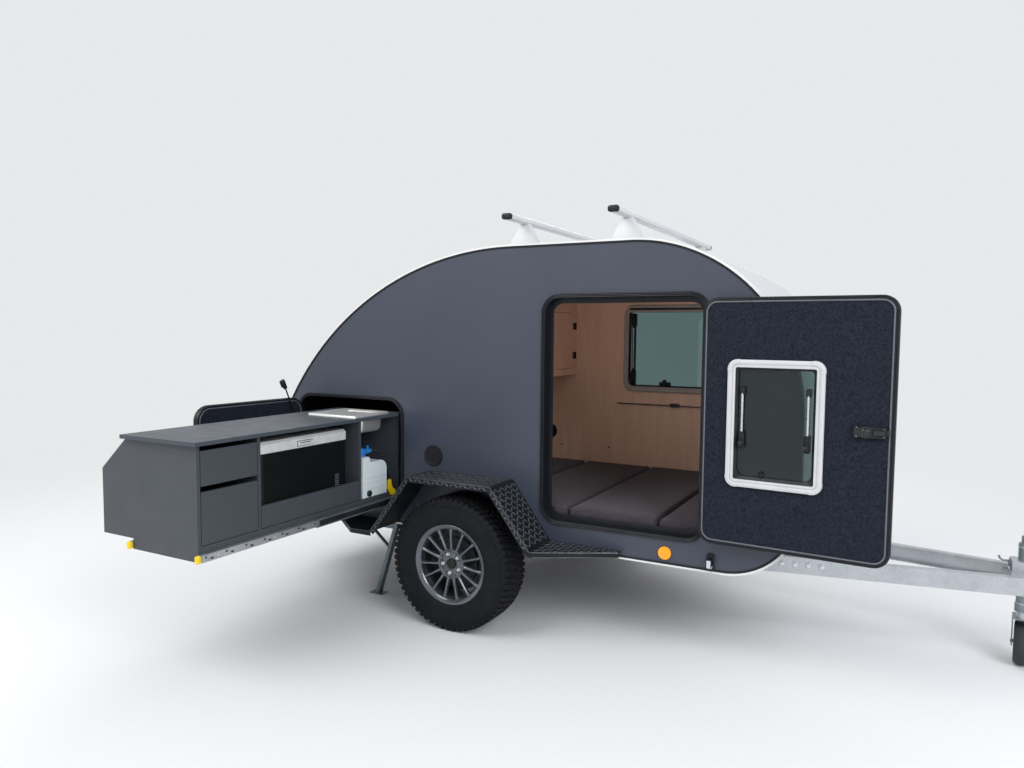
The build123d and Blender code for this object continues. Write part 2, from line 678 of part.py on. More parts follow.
def make_fittings():
    vent = tube_y(VENT_X, VENT_Z, VENT_R, out_from_side(5), out_from_side(0))
    keep("side_vents", *both_sides(vent))
    lens = tube_y(REFLECTOR_X, REFLECTOR_Z, REFLECTOR_R, out_from_side(8), out_from_side(0))
    keep("side_reflectors", *both_sides(lens))
    bars = []
    for x in BAR_XS:
        section = Pos(x, BAR_Z + BAR_HIGH / 2) * RectangleRounded(BAR_WIDE, BAR_HIGH, BAR_CORNER_R)
        bar = drawn_xz(section, -BAR_HALF_LONG, BAR_HALF_LONG)
        for y in (-BAR_FOOT_Y, BAR_FOOT_Y):
            front = flare(x, BAR_FOOT_BASE, BAR_FOOT_TOP)
            side = flare(y, BAR_FOOT_DEEP, BAR_FOOT_NECK)
            bar += drawn_xz(front, -BIG, BIG) & drawn_yz(side, -BIG, BIG)
        bars.append(bar)
    keep("roof_bars", *bars)
    bar_x = body_tail_x() - TAIL_LOW_R + 60
    low = REAR_BAR_TOP - REAR_BAR_HIGH
    bar = block(bar_x, bar_x + REAR_BAR_THICK, -REAR_BAR_HALF, REAR_BAR_HALF, low, REAR_BAR_TOP)
    for side in (-1, 1):
        y0, y1 = sorted((side * (RAIL_Y - 60), side * (RAIL_Y - 60 - REAR_ARM_WIDE)))
        bar += block(bar_x + REAR_BAR_THICK, RAIL_REAR_X, y0, y1, low + 30, REAR_BAR_TOP - 10)
    NODES["chassis"][0] += bar
    lamps = []
    for side in (-1, 1):
        y0, y1 = sorted((side * (REAR_BAR_HALF - 10), side * (REAR_BAR_HALF - 10 - REAR_LAMP_LONG)))
        lamps.append(block(bar_x - REAR_LAMP_THICK, bar_x, y0, y1, low + 2, REAR_BAR_TOP - 2))
    keep("rear_lamps", *lamps)


def make_guards():
    line = [(-GUARD_LOW_X - 20, GUARD_LOW_Z - 26), (-GUARD_TOP_X, GUARD_TOP_Z), (GUARD_TOP_X, GUARD_TOP_Z),
            (GUARD_LOW_X, GUARD_LOW_Z), (GUARD_STEP_X, GUARD_LOW_Z)]
    plate = drawn_xz(strip(line, GUARD_SHEET), out_from_side(GUARD_WIDE), out_from_side(0))
    lip = drawn_xz(strip(line, GUARD_LIP), out_from_side(GUARD_WIDE), out_from_side(GUARD_WIDE - GUARD_SHEET))
    taper = polygon([(GUARD_LOW_X + 20, out_from_side(GUARD_WIDE)), (GUARD_STEP_X + 5, out_from_side(GUARD_WIDE)),
                     (GUARD_STEP_X + 5, out_from_side(40))])
    guard = plate + lip
    guard -= drawn_xy(taper, 0, BIG)
    keep("mudguards", *both_sides(guard))


def channel(x0, x1, y_web, inward, z0, z1):
    """A cold-formed C section along X, its web at y_web and its flanges pointing inward."""
    flange = y_web + inward * BEAM_FLANGE
    web = y_web + inward * BEAM_SHEET
    low, high = sorted((y_web, flange))
    low_w, high_w = sorted((y_web, web))
    beam = block(x0, x1, low_w, high_w, z0, z1)
    beam += block(x0, x1, low, high, z1 - BEAM_SHEET, z1)
    beam += block(x0, x1, low, high, z0, z0 + BEAM_SHEET)
    return beam


def make_chassis():
    z0 = BOTTOM_Z - BEAM_HIGH
    frame = block(CROSS_X, CROSS_X + CROSS_LONG, -RAIL_Y, RAIL_Y, z0 + 38, BOTTOM_Z)
    for side in (-1, 1):
        frame += channel(RAIL_REAR_X, CROSS_X, side * RAIL_Y, -side, z0, BOTTOM_Z)
    frame += block(RAIL_REAR_X, RAIL_REAR_X + 40, -RAIL_Y, RAIL_Y, z0, BOTTOM_Z)
    keep("chassis", frame)
    turn = math.degrees(math.atan(BEAM_SLOPE))
    long = (APEX_X - CROSS_X) / math.cos(math.radians(turn)) + BEAM_SPARE
    keep_x = block(CROSS_X + CROSS_LONG, APEX_X, -BIG, BIG, 0, BIG)
    drawbar = None
    for side in (-1, 1):
        beam = channel(-long, BEAM_SPARE, 0, -side, z0, BOTTOM_Z)
        beam = Pos(APEX_X, side * APEX_HALF, 0) * Rot(0, 0, -side * turn) * beam
        beam = beam & keep_x
        drawbar = beam if drawbar is None else drawbar + beam
    cross_x1 = DRAWBAR_CROSS_X + DRAWBAR_CROSS_LONG
    cross_half = beam_half((DRAWBAR_CROSS_X + cross_x1) / 2) - 2
    cross = block(DRAWBAR_CROSS_X, cross_x1, -cross_half, cross_half, z0 + 10, BOTTOM_Z - BEAM_SHEET)
    plate_half = beam_half(JOCKEY_X) - 4
    plate = block(JOCKEY_X - 60, JOCKEY_X + 60, -plate_half, plate_half, BOTTOM_Z - 12, BOTTOM_Z - BEAM_SHEET)
    plate -= tube_z(JOCKEY_X, 0, JOCKEY_TUBE_R + RUNNING_GAP, 0, BIG)
    keep("drawbar", drawbar + cross + plate)


def beam_half(x):
    return APEX_HALF + BEAM_SLOPE * (APEX_X - x)


def make_coupling():
    wide = APEX_HALF - BEAM_SHEET
    body = block(APEX_X - 120, APEX_X + 40, -wide + 6, wide - 6, BOTTOM_Z - 68, BOTTOM_Z - 8)
    body += block(APEX_X, BALL_X - 10, -28, 28, BALL_Z - 20, BALL_Z + 40)
    body += Pos(BALL_X, 0, BALL_Z + 8) * Cylinder(40, 56)
    body -= Pos(BALL_X, 0, BALL_Z) * Sphere(BALL_R, arc_size1=0)
    body -= tube_z(BALL_X, 0, BALL_R, BALL_Z - 60, BALL_Z)
    body += block(APEX_X + 30, BALL_X + 20, -12, 12, BALL_Z + 36, BALL_Z + 58)
    keep("coupling", body)


def make_axle():
    half = AXLE_TUBE / 2
    axle = block(AXLE_TUBE_X - half, AXLE_TUBE_X + half, -ARM_Y, ARM_Y, AXLE_TUBE_Z - half, AXLE_TUBE_Z + half)
    arm = [(AXLE_TUBE_X + x, AXLE_TUBE_Z + z) for x, z in ARM_AT_TUBE]
    arm += [(x, TYRE_R + z) for x, z in ARM_AT_STUB]
    arm = polygon(arm)
    for side in (-1, 1):
        y0, y1 = sorted((side * ARM_Y, side * (ARM_Y + ARM_THICK)))
        axle += drawn_xz(arm, y0, y1)
        y0, y1 = sorted((side * (ARM_Y + ARM_THICK), side * (WHEEL_Y + TYRE_WIDTH / 2 - HUB_IN - HUB_THICK)))
        axle += tube_y(0, TYRE_R, STUB_R, y0, y1)
    keep("axle", axle)


def turned(profile):
    """A closed profile of points, each along the axle and out from it, revolved about the axle."""
    plane = Plane(origin=(0, 0, 0), x_dir=(0, 1, 0), z_dir=(1, 0, 0))
    return revolve(plane * polygon(profile), Axis.Y, 360)


def make_wheel(side):
    """A wheel whose outer face looks to -Y, turned round for the left side."""
    half = TYRE_WIDTH / 2
    bead = half - BEAD_IN
    right_half = [(bead - BEAD_TAPER, TYRE_BEAD_R), (half, BULGE_R), (half - SHOULDER_IN, TYRE_R)]
    tyre = turned(right_half + [(-y, r) for y, r in right_half[::-1]])
    barrel_r = TYRE_BEAD_R - RIM_SHEET
    rim = turned([(-bead - LIP_THICK, RIM_R - 4), (-bead, RIM_R - 4), (-bead, TYRE_BEAD_R), (bead, TYRE_BEAD_R),
                  (bead, barrel_r), (-bead - LIP_THICK, LIP_R)])
    face = -half + HUB_IN
    back = face + HUB_THICK
    rim += turned([(face, 0), (face, HUB_R), (back, HUB_R), (back, 0)])
    spoke = polygon([(HUB_R - 6, -SPOKE_HUB / 2), (barrel_r + 2, -SPOKE_RIM / 2), (barrel_r + 2, SPOKE_RIM / 2),
                     (HUB_R - 6, SPOKE_HUB / 2)])
    spoke = drawn_xz(spoke, face - 2, face + 14)
    for i in range(SPOKES):
        rim += spoke.rotate(Axis.Y, 360 / SPOKES * i)
    place = Pos(0, side * WHEEL_Y, TYRE_R)
    turn = Rot(0, 0, 180) if side > 0 else Rot(0, 0, 0)
    name = "left" if side > 0 else "right"
    keep("tyre_" + name, place * turn * tyre)
    keep("rim_" + name, place * turn * rim)


def make_jockey():
    outer = tube_z(JOCKEY_X, 0, JOCKEY_TUBE_R, JOCKEY_TUBE_Z0, JOCKEY_TUBE_Z1)
    outer += tube_z(JOCKEY_X, 0, JOCKEY_COLLAR_R, JOCKEY_TUBE_Z0, JOCKEY_TUBE_Z0 + JOCKEY_COLLAR_HIGH)
    outer -= tube_z(JOCKEY_X, 0, JOCKEY_INNER_R + RUNNING_GAP, JOCKEY_TUBE_Z0 - 1, JOCKEY_TUBE_Z1 - 30)
    head_z = JOCKEY_TUBE_Z1 + JOCKEY_HEAD_HIGH
    outer += tube_z(JOCKEY_X, 0, JOCKEY_HEAD_R, JOCKEY_TUBE_Z1, head_z)
    outer += tube_z(JOCKEY_X, 0, JOCKEY_SCREW_R, head_z, JOCKEY_SCREW_Z)
    crank_x = JOCKEY_X + JOCKEY_CRANK
    outer += block(JOCKEY_X - 8, crank_x + 12, -8, 8, JOCKEY_SCREW_Z - 12, JOCKEY_SCREW_Z)
    outer += tube_z(crank_x, 0, JOCKEY_SCREW_R, JOCKEY_SCREW_Z, JOCKEY_SCREW_Z + 90)
    clamp = block(JOCKEY_X - 55, JOCKEY_X + 55, -50, 50, BOTTOM_Z - BEAM_SHEET, BOTTOM_Z + 50)
    clamp -= tube_z(JOCKEY_X, 0, JOCKEY_TUBE_R + RUNNING_GAP, 0, BIG)
    NODES["drawbar"][0] += clamp
    keep("jockey_outer_tube", outer)
    inner_z = 2 * JOCKEY_WHEEL_R + 30
    keep("jockey_inner_tube", tube_z(JOCKEY_X, 0, JOCKEY_INNER_R, inner_z, JOCKEY_TUBE_Z1 - 60))
    axle_x = JOCKEY_X - JOCKEY_TRAIL
    half = JOCKEY_WHEEL_WIDE / 2
    fork_x0 = JOCKEY_X - JOCKEY_FORK_BACK
    fork_x1 = JOCKEY_X + JOCKEY_FORK_FRONT
    cheek = polygon([(axle_x - 18, JOCKEY_WHEEL_R - 18), (axle_x + 18, JOCKEY_WHEEL_R - 18),
                     (fork_x1, inner_z - 14), (fork_x1, inner_z), (fork_x0, inner_z)])
    fork = block(fork_x0, fork_x1, -half - 10, half + 10, inner_z - 6, inner_z)
    for cheek_side in both_sides(drawn_xz(cheek, half + 5, half + 10)):
        fork += cheek_side
    fork += tube_y(axle_x, JOCKEY_WHEEL_R, 8, -half - 14, half + 14)
    wheel = turned([(-half, 8.5), (-half, JOCKEY_WHEEL_R), (half, JOCKEY_WHEEL_R), (half, 8.5)])
    wheel = Pos(axle_x, 0, JOCKEY_WHEEL_R) * wheel
    swivel = Axis((JOCKEY_X, 0, 0), (0, 0, 1))
    keep("jockey_fork", fork.rotate(swivel, JOCKEY_SWIVEL))
    keep("jockey_wheel", wheel.rotate(swivel, JOCKEY_SWIVEL))


def make_steady():
    half = STEADY_WIDE / 2
    x0 = STEADY_X - STEADY_TRACK + 20
    x1 = STEADY_X + 20
    z0 = STEADY_Z - 6
    dx = STEADY_FOOT_X - STEADY_X
    long = math.hypot(dx, STEADY_Z)
    lean = math.degrees(math.atan2(STEADY_Z, -dx))
    for name, side in (("right", -1), ("left", 1)):
        y = side * STEADY_Y
        track = block(x0, x1, y - half, y + half, z0, BOTTOM_Z)
        track -= block(x0 - 1, x1 + 1, y - half + 3, y + half - 3, 0, BOTTOM_Z - 3)
        track += tube_y(STEADY_X, STEADY_Z, 5, y - half, y + half)
        NODES.setdefault("steady_tracks", []).append(track)
        # The leg is drawn folded, pointing to the rear, and is then turned down.
        leg = block(STEADY_X - long + 2, STEADY_X + 12, y - LEG_WIDE / 2, y + LEG_WIDE / 2,
                    STEADY_Z - LEG_DEEP / 2, STEADY_Z + LEG_DEEP / 2)
        leg -= block(STEADY_X - long - 1, STEADY_X + 13, y - LEG_WIDE / 2 + 3, y + LEG_WIDE / 2 - 3,
                     STEADY_Z - LEG_DEEP / 2 + 3, STEADY_Z + LEG_DEEP / 2 + 1)
        leg -= tube_y(STEADY_X, STEADY_Z, 5.05, y - half, y + half)
        pin_x = STEADY_X - BRACE_AT
        leg += tube_y(pin_x, STEADY_Z, 4, y - LEG_WIDE / 2, y + LEG_WIDE / 2)
        leg = leg.rotate(Axis((STEADY_X, y, STEADY_Z), (0, 1, 0)), -lean)
        foot = block(STEADY_FOOT_X - 45, STEADY_FOOT_X + 45, y - 30, y + 30, 0, 4)
        keep("steady_leg_" + name, leg + foot)
        brace = block(pin_x - BRACE_LONG - 5, pin_x + 5, y - BRACE_WIDE / 2, y + BRACE_WIDE / 2,
                      STEADY_Z - 4, STEADY_Z + 4)
        brace += tube_y(pin_x, STEADY_Z, 7, y - BRACE_WIDE / 2, y + BRACE_WIDE / 2)
        brace -= tube_y(pin_x, STEADY_Z, 4.05, y - half, y + half)
        pin_down = STEADY_Z - BRACE_AT * math.sin(math.radians(lean))
        rise = math.degrees(math.asin((STEADY_Z - pin_down) / BRACE_LONG))
        brace = brace.rotate(Axis((pin_x, y, STEADY_Z), (0, 1, 0)), rise)
        move_x = STEADY_X - BRACE_AT * math.cos(math.radians(lean)) - pin_x
        keep("steady_brace_" + name, Pos(move_x, 0, pin_down - STEADY_Z) * brace)


def rail_section(web_x, open_to, half, z, thick):
    """The C section of one slide member, seen along Y."""
    x0, x1 = sorted((web_x, open_to))
    shape = rect(x0, x1, z - half, z + half)
    w0, w1 = sorted((web_x + math.copysign(thick, open_to - web_x), open_to + math.copysign(1, open_to - web_x)))
    return shape - rect(w0, w1, z - half + thick, z + half - thick)


def make_rails():
    near = FRONT_X + RAIL_STACK
    far = PLINTH_X - RAIL_STACK
    y_fixed = out_from_side(-WALL - RAIL_START)
    members = {"rails_fixed": [], "rails_middle": [], "rails_inner": []}
    for wall_x, into in ((near, -1), (far, 1)):
        fixed = rail_section(wall_x, wall_x + into * 22, RAIL_HALF, RAIL_Z, RAIL_SHEET)
        middle = rail_section(wall_x + into * 3.5, wall_x + into * 25, RAIL_HALF - 3.5, RAIL_Z, RAIL_SHEET)
        x0, x1 = sorted((wall_x + into * 8, wall_x + into * RAIL_STACK))
        inner = rect(x0, x1, RAIL_Z - 15, RAIL_Z + 15)
        half_way = y_fixed - KITCHEN_TRAVEL / 2
        members["rails_fixed"].append(drawn_xz(fixed, y_fixed, y_fixed + RAIL_LONG))
        members["rails_middle"].append(drawn_xz(middle, half_way, half_way + RAIL_LONG))
        start = out_from_side(KITCHEN_OUT - 22)
        members["rails_inner"].append(drawn_xz(inner, start, start + RAIL_LONG))
    for name, solids in members.items():
        keep(name, *solids)
    support = block(far - PLY, far, y_fixed, INSIDE, BOTTOM_Z + FLOOR_THICK, RAIL_Z + RAIL_HALF)
    NODES["rear_furniture"].append(support)


def make_kitchen():
    panel_out = KITCHEN_OUT - TOP_OVERHANG
    y_panel = out_from_side(panel_out)
    y_end = out_from_side(KITCHEN_OUT - KITCHEN_LONG)
    under_top = TOP_Z - TOP_THICK
    outline = [(TOP_REAR_X, under_top), (REAR_X, CHAMFER_Z), (REAR_X, SKIRT_Z), (PLINTH_X, SKIRT_Z),
               (PLINTH_X, PLINTH_Z), (FRONT_X, PLINTH_Z), (FRONT_X, under_top)]
    carcass = drawn_xz(polygon(outline), y_panel, y_end)
    inner = [(TOP_REAR_X + BOARD / 2, under_top + 1), (REAR_X + BOARD, CHAMFER_Z - BOARD / 2),
             (REAR_X + BOARD, SKIRT_Z + BOARD), (FRONT_X + 1, SKIRT_Z + BOARD), (FRONT_X + 1, under_top + 1)]
    bays = ((DRAWER_SPLIT, panel_out - BOARD), (CAN_SPLIT, DRAWER_SPLIT - BOARD),
            (KITCHEN_OUT - KITCHEN_LONG + BOARD, CAN_SPLIT - BOARD))
    for near_out, far_out in bays:
        carcass -= drawn_xz(polygon(inner), out_from_side(far_out), out_from_side(near_out))
    end_x, end_out = HOSE_ROUTE[-1][:2]
    carcass += tube_z(end_x, out_from_side(end_out), GROMMET_R, SKIRT_Z + BOARD - 1, SKIRT_Z + BOARD + GROMMET_HIGH)
    keep("kitchen_carcass", carcass)
    top = block(TOP_REAR_X - 8, FRONT_X + TOP_OVERHANG, out_from_side(KITCHEN_OUT), y_end, under_top, TOP_Z)
    sink_x1 = FRONT_X + TOP_OVERHANG - SINK_INSET
    sink_x0 = sink_x1 - SINK_DEEP
    sink_out0 = SINK_FROM
    bowl_x1 = sink_x1 - BOWL_INSET
    bowl = (bowl_x1 - BOWL_DEEP, bowl_x1, sink_out0 + BOWL_SIDE, sink_out0 + BOWL_SIDE + BOWL_LONG)
    over = 3.0
    top -= outside_block(bowl[0] - over, bowl[1] + over, bowl[2] - over, bowl[3] + over, 0, BIG)
    keep("worktop", top)
    sheet = BOWL_SHEET
    low = TOP_Z - BOWL_DROP
    sink = outside_block(sink_x0, sink_x1, sink_out0, sink_out0 + SINK_LONG, TOP_Z, TOP_Z + SINK_HIGH)
    sink += outside_block(*bowl, low, TOP_Z)
    sink -= outside_block(bowl[0] + sheet, bowl[1] - sheet, bowl[2] + sheet, bowl[3] - sheet, low + sheet, BIG)
    keep("sink_unit", sink)
    gap = PIECE_GAP
    sheet = DRAWER_SHEET
    out0 = DRAWER_SPLIT + gap
    out1 = panel_out - BOARD - gap
    floor_z = SKIRT_Z + BOARD
    x0 = FRONT_X - DRAWER_DEEP
    heights = (
        ("drawer_lower", floor_z + gap, DRAWER_EDGE_Z),
        ("drawer_upper", DRAWER_EDGE_Z + DRAWER_GAP, under_top - DRAWER_GAP),
    )
    for name, z0, z1 in heights:
        drawer = outside_block(x0, FRONT_X, out0, out1, z0, z1)
        drawer -= outside_block(x0 + sheet, FRONT_X - BOARD, out0 + sheet, out1 - sheet, z0 + sheet, BIG)
        keep(name, drawer)
    tray_z = floor_z + gap
    out0 = CAN_SPLIT + gap
    out1 = DRAWER_SPLIT - BOARD - gap
    tray = outside_block(x0, FRONT_X - BOARD, out0, out1, tray_z, tray_z + TRAY_THICK)
    tray += outside_block(FRONT_X - BOARD, FRONT_X, out0, out1, tray_z, TRAY_Z)
    keep("coolbox_tray", tray)
    cool_x1 = FRONT_X - BOARD - gap
    cool_x0 = cool_x1 - COOL_DEEP
    out1 = out1 - COOL_FROM
    out0 = out1 - COOL_LONG
    low = tray_z + TRAY_THICK
    wall = COOL_WALL
    y0, y1 = out_from_side(out1), out_from_side(out0)
    cool = drawn_xy(rect(cool_x0, cool_x1, y0, y1, COOL_CORNER_R), low, COOL_TOP_Z)
    cool -= outside_block(cool_x0 + wall, cool_x1 - wall, out0 + wall, out1 - wall, low + wall, BIG)
    keep("coolbox", cool)
    over = COOL_LID_OVER
    lid = rect(cool_x0 - over, cool_x1 + over, y0 - over, y1 + over, COOL_CORNER_R + over)
    lid = drawn_xy(lid, COOL_TOP_Z, COOL_TOP_Z + COOL_LID)
    keep("coolbox_lid", chamfer(lid.edges().group_by(Axis.Z)[-1], COOL_LID_CHAMFER))


def make_water_can():
    """A can with a raised neck, its cap and tap, and its free hose."""
    out1 = CAN_SPLIT - CAN_FROM
    low = SKIRT_Z + BOARD
    near = out_from_side(out1 - CAN_LONG)
    far = out_from_side(out1)
    neck = far + CAN_NECK_LONG
    bend = (near - CAN_SHOULDER_R, CAN_TOP_Z - CAN_SHOULDER_R)
    turn = CAN_SHOULDER_R * math.sin(math.radians(45))
    shoulder = ((bend[0], CAN_TOP_Z), (bend[0] + turn, bend[1] + turn), (near, bend[1]))
    profile = make_face([
        Polyline((near, bend[1]), (near, low), (far, low), (far, CAN_NECK_Z), (neck, CAN_NECK_Z),
                 (neck + 12, CAN_TOP_Z), (bend[0], CAN_TOP_Z)),
        ThreePointArc(*shoulder),
    ])
    front = FRONT_X - CAN_INSET
    can = drawn_yz(profile, front - CAN_DEEP, front)
    cap_y = far + 1.4 * CAN_CAP_R
    can += tube_z(HOSE_ROUTE[0][0], cap_y, CAN_CAP_R, CAN_NECK_Z, CAN_NECK_Z + CAN_CAP_HIGH)
    tap_x, tap_out, tap_z = HOSE_ROUTE[0]
    can += tube_y(tap_x, tap_z, TAP_R, cap_y, out_from_side(tap_out))
    keep("water_can", can)
    route = [Vector(x, out_from_side(out), z) for x, out, z in HOSE_ROUTE]
    runs = [b - a for a, b in zip(route, route[1:])]
    radii = []
    for before, after in zip(runs, runs[1:]):
        half_turn = math.radians(before.get_angle(after)) / 2
        radii.append(0.45 * min(before.length, after.length) / math.tan(half_turn))
    path = FilletPolyline(*route, radius=radii)
    hose = sweep(Plane(origin=route[0], z_dir=path % 0) * Circle(HOSE_R), path=path)
    expected = math.pi * HOSE_R ** 2 * path.length
    print("hose: radii", [round(r) for r in radii], "length", round(path.length), "volume share",
          round(hose.volume / expected, 4))
    keep("water_hose", hose)


make_shell()
make_sides()
make_openings()
make_door()
make_catch()
make_hatch()
make_lamp()
make_cabin()
make_guards()
make_chassis()
make_fittings()
make_coupling()
make_axle()
make_wheel(-1)
make_wheel(1)
make_jockey()
make_steady()
make_rails()
make_kitchen()
make_water_can()

os.makedirs("parts", exist_ok=True)
TO_ORIGIN = Pos(-BALL_X, 0, -BALL_Z)
for node, solids in NODES.items():
    placed = [TO_ORIGIN * solid for shape in solids for solid in shape.solids()]
    export_step(placed[0] if len(placed) == 1 else Compound(children=placed), "parts/" + node + ".step")
    print(node, len(placed))
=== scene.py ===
import json
import math

import bpy
import bmesh
from mathutils import Matrix, Vector
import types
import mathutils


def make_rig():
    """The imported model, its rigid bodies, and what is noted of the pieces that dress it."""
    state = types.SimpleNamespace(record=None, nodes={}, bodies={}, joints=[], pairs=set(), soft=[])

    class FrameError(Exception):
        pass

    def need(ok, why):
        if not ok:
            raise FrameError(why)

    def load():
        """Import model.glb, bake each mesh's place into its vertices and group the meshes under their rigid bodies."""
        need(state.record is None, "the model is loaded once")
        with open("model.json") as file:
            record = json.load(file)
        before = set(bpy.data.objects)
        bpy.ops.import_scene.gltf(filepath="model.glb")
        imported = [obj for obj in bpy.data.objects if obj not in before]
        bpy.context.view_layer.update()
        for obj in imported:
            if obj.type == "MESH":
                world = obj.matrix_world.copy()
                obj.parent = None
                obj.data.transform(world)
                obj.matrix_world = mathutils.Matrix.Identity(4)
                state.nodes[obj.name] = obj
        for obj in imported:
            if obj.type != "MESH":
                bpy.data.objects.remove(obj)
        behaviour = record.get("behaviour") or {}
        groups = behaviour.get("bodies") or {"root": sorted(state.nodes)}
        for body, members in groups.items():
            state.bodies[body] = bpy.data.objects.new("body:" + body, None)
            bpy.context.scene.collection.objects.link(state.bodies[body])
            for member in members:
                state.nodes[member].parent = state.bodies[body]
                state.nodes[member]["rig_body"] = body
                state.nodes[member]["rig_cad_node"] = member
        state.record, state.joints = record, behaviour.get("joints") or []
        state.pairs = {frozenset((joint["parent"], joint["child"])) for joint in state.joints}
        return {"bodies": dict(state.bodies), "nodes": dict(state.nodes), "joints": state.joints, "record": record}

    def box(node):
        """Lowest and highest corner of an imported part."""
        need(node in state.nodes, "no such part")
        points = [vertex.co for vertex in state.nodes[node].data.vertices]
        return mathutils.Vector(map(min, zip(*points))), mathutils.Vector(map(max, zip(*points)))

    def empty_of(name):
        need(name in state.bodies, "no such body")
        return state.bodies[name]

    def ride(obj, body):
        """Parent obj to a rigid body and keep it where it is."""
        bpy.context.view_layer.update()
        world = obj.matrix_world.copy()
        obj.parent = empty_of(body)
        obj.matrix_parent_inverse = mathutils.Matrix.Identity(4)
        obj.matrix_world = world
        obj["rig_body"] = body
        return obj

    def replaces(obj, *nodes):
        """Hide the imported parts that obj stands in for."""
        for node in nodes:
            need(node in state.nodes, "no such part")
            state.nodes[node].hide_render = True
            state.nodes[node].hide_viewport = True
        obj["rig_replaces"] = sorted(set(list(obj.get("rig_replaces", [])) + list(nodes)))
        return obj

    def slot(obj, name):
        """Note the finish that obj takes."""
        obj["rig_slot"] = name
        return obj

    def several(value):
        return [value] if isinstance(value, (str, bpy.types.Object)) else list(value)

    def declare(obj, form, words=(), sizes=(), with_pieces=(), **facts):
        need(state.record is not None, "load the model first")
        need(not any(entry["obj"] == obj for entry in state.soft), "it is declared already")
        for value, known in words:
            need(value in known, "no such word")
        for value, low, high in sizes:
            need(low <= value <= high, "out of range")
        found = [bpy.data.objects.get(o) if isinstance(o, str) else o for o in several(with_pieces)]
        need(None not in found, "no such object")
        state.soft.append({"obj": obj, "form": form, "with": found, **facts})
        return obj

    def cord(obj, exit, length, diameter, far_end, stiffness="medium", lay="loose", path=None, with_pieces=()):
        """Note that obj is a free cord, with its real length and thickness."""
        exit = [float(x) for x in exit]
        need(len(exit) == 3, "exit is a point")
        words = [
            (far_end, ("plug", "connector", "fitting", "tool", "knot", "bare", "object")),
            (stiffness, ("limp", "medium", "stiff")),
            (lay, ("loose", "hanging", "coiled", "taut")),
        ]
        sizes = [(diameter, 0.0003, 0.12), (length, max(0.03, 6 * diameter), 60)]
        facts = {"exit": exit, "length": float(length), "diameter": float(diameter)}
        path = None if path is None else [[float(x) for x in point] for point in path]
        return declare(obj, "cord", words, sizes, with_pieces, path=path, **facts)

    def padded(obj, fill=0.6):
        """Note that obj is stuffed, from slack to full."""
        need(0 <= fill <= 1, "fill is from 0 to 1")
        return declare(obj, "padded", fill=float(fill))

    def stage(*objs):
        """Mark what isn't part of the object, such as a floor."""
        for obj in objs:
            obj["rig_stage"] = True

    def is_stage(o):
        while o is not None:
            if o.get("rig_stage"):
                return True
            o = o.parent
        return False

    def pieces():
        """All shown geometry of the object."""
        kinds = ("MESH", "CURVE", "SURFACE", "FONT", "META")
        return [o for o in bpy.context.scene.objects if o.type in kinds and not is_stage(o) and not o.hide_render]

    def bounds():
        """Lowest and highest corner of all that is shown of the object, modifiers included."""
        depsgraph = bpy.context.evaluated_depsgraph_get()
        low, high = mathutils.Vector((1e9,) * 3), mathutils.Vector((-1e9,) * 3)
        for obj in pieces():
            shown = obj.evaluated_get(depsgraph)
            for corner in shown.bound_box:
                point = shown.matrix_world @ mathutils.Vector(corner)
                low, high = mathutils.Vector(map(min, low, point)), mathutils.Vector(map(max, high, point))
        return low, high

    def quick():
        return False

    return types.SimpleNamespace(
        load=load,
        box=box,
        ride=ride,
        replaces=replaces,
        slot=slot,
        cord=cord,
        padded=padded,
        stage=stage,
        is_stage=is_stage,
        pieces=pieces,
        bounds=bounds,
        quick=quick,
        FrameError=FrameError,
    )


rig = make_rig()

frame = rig.load()
cad_low, cad_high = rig.bounds()

# The row's frame starts at the ball socket: these are the axle's and the ground's places in it, in metres.
AXLE_X = -3.140
GROUND_Z = -0.430
MM = 0.001
HALF_WIDTH = 725.0
INSIDE = 697.0
ORIGIN = Vector((0.0, 0.0, 0.0))
UNTURNED = (0.0, 0.0, 0.0)
FULL_SIZE = (1.0, 1.0, 1.0)
X_AXIS = (1, 0, 0)
Y_AXIS = (0, 1, 0)
Z_AXIS = (0, 0, 1)
TO_KERB = (0, -1, 0)


def spot(x, y, z):
    """A point in millimetres from the axle, the centre plane and the ground."""
    return Vector((AXLE_X + x * MM, y * MM, GROUND_Z + z * MM))


def kerb(x, out, z):
    """A point in millimetres, measured out from the kerb side's panel."""
    return spot(x, -HALF_WIDTH - out, z)


def far_side(x, out, z):
    return spot(x, HALF_WIDTH + out, z)


def inward(x, out, z):
    """A point in millimetres, measured into the cabin from the far wall."""
    return spot(x, INSIDE - out, z)


SIDES = ((kerb, -1), (far_side, 1))


def link(name, data):
    thing = bpy.data.objects.new(name, data)
    bpy.context.scene.collection.objects.link(thing)
    return thing


# Camera at the photograph's place
YAW = 0.49267
PITCH = 0.06867
ROLL = 0.00862
FOCAL_PX = 748.4392
PHOTO_WIDTH_PX = 1024.0
SENSOR_MM = 36.0
CAMERA_PLACE = spot(2017.15, -4043.04, 1508.49)
camera_data = bpy.data.cameras.new("camera")
camera = link("camera", camera_data)
camera_data.sensor_width = SENSOR_MM
camera_data.lens = FOCAL_PX * SENSOR_MM / PHOTO_WIDTH_PX
camera_data.clip_start = 0.05
camera_data.clip_end = 200.0
forward = Vector((-math.sin(YAW) * math.cos(PITCH), math.cos(YAW) * math.cos(PITCH), -math.sin(PITCH)))
level_right = Vector((math.cos(YAW), math.sin(YAW), 0.0))
level_up = level_right.cross(forward)
right = math.cos(ROLL) * level_right + math.sin(ROLL) * level_up
up = -math.sin(ROLL) * level_right + math.cos(ROLL) * level_up
turn = Matrix((right, up, -forward)).transposed()
camera.matrix_world = Matrix.Translation(CAMERA_PLACE) @ turn.to_4x4()
bpy.context.scene.camera = camera
bpy.context.scene.view_settings.view_transform = "Standard"

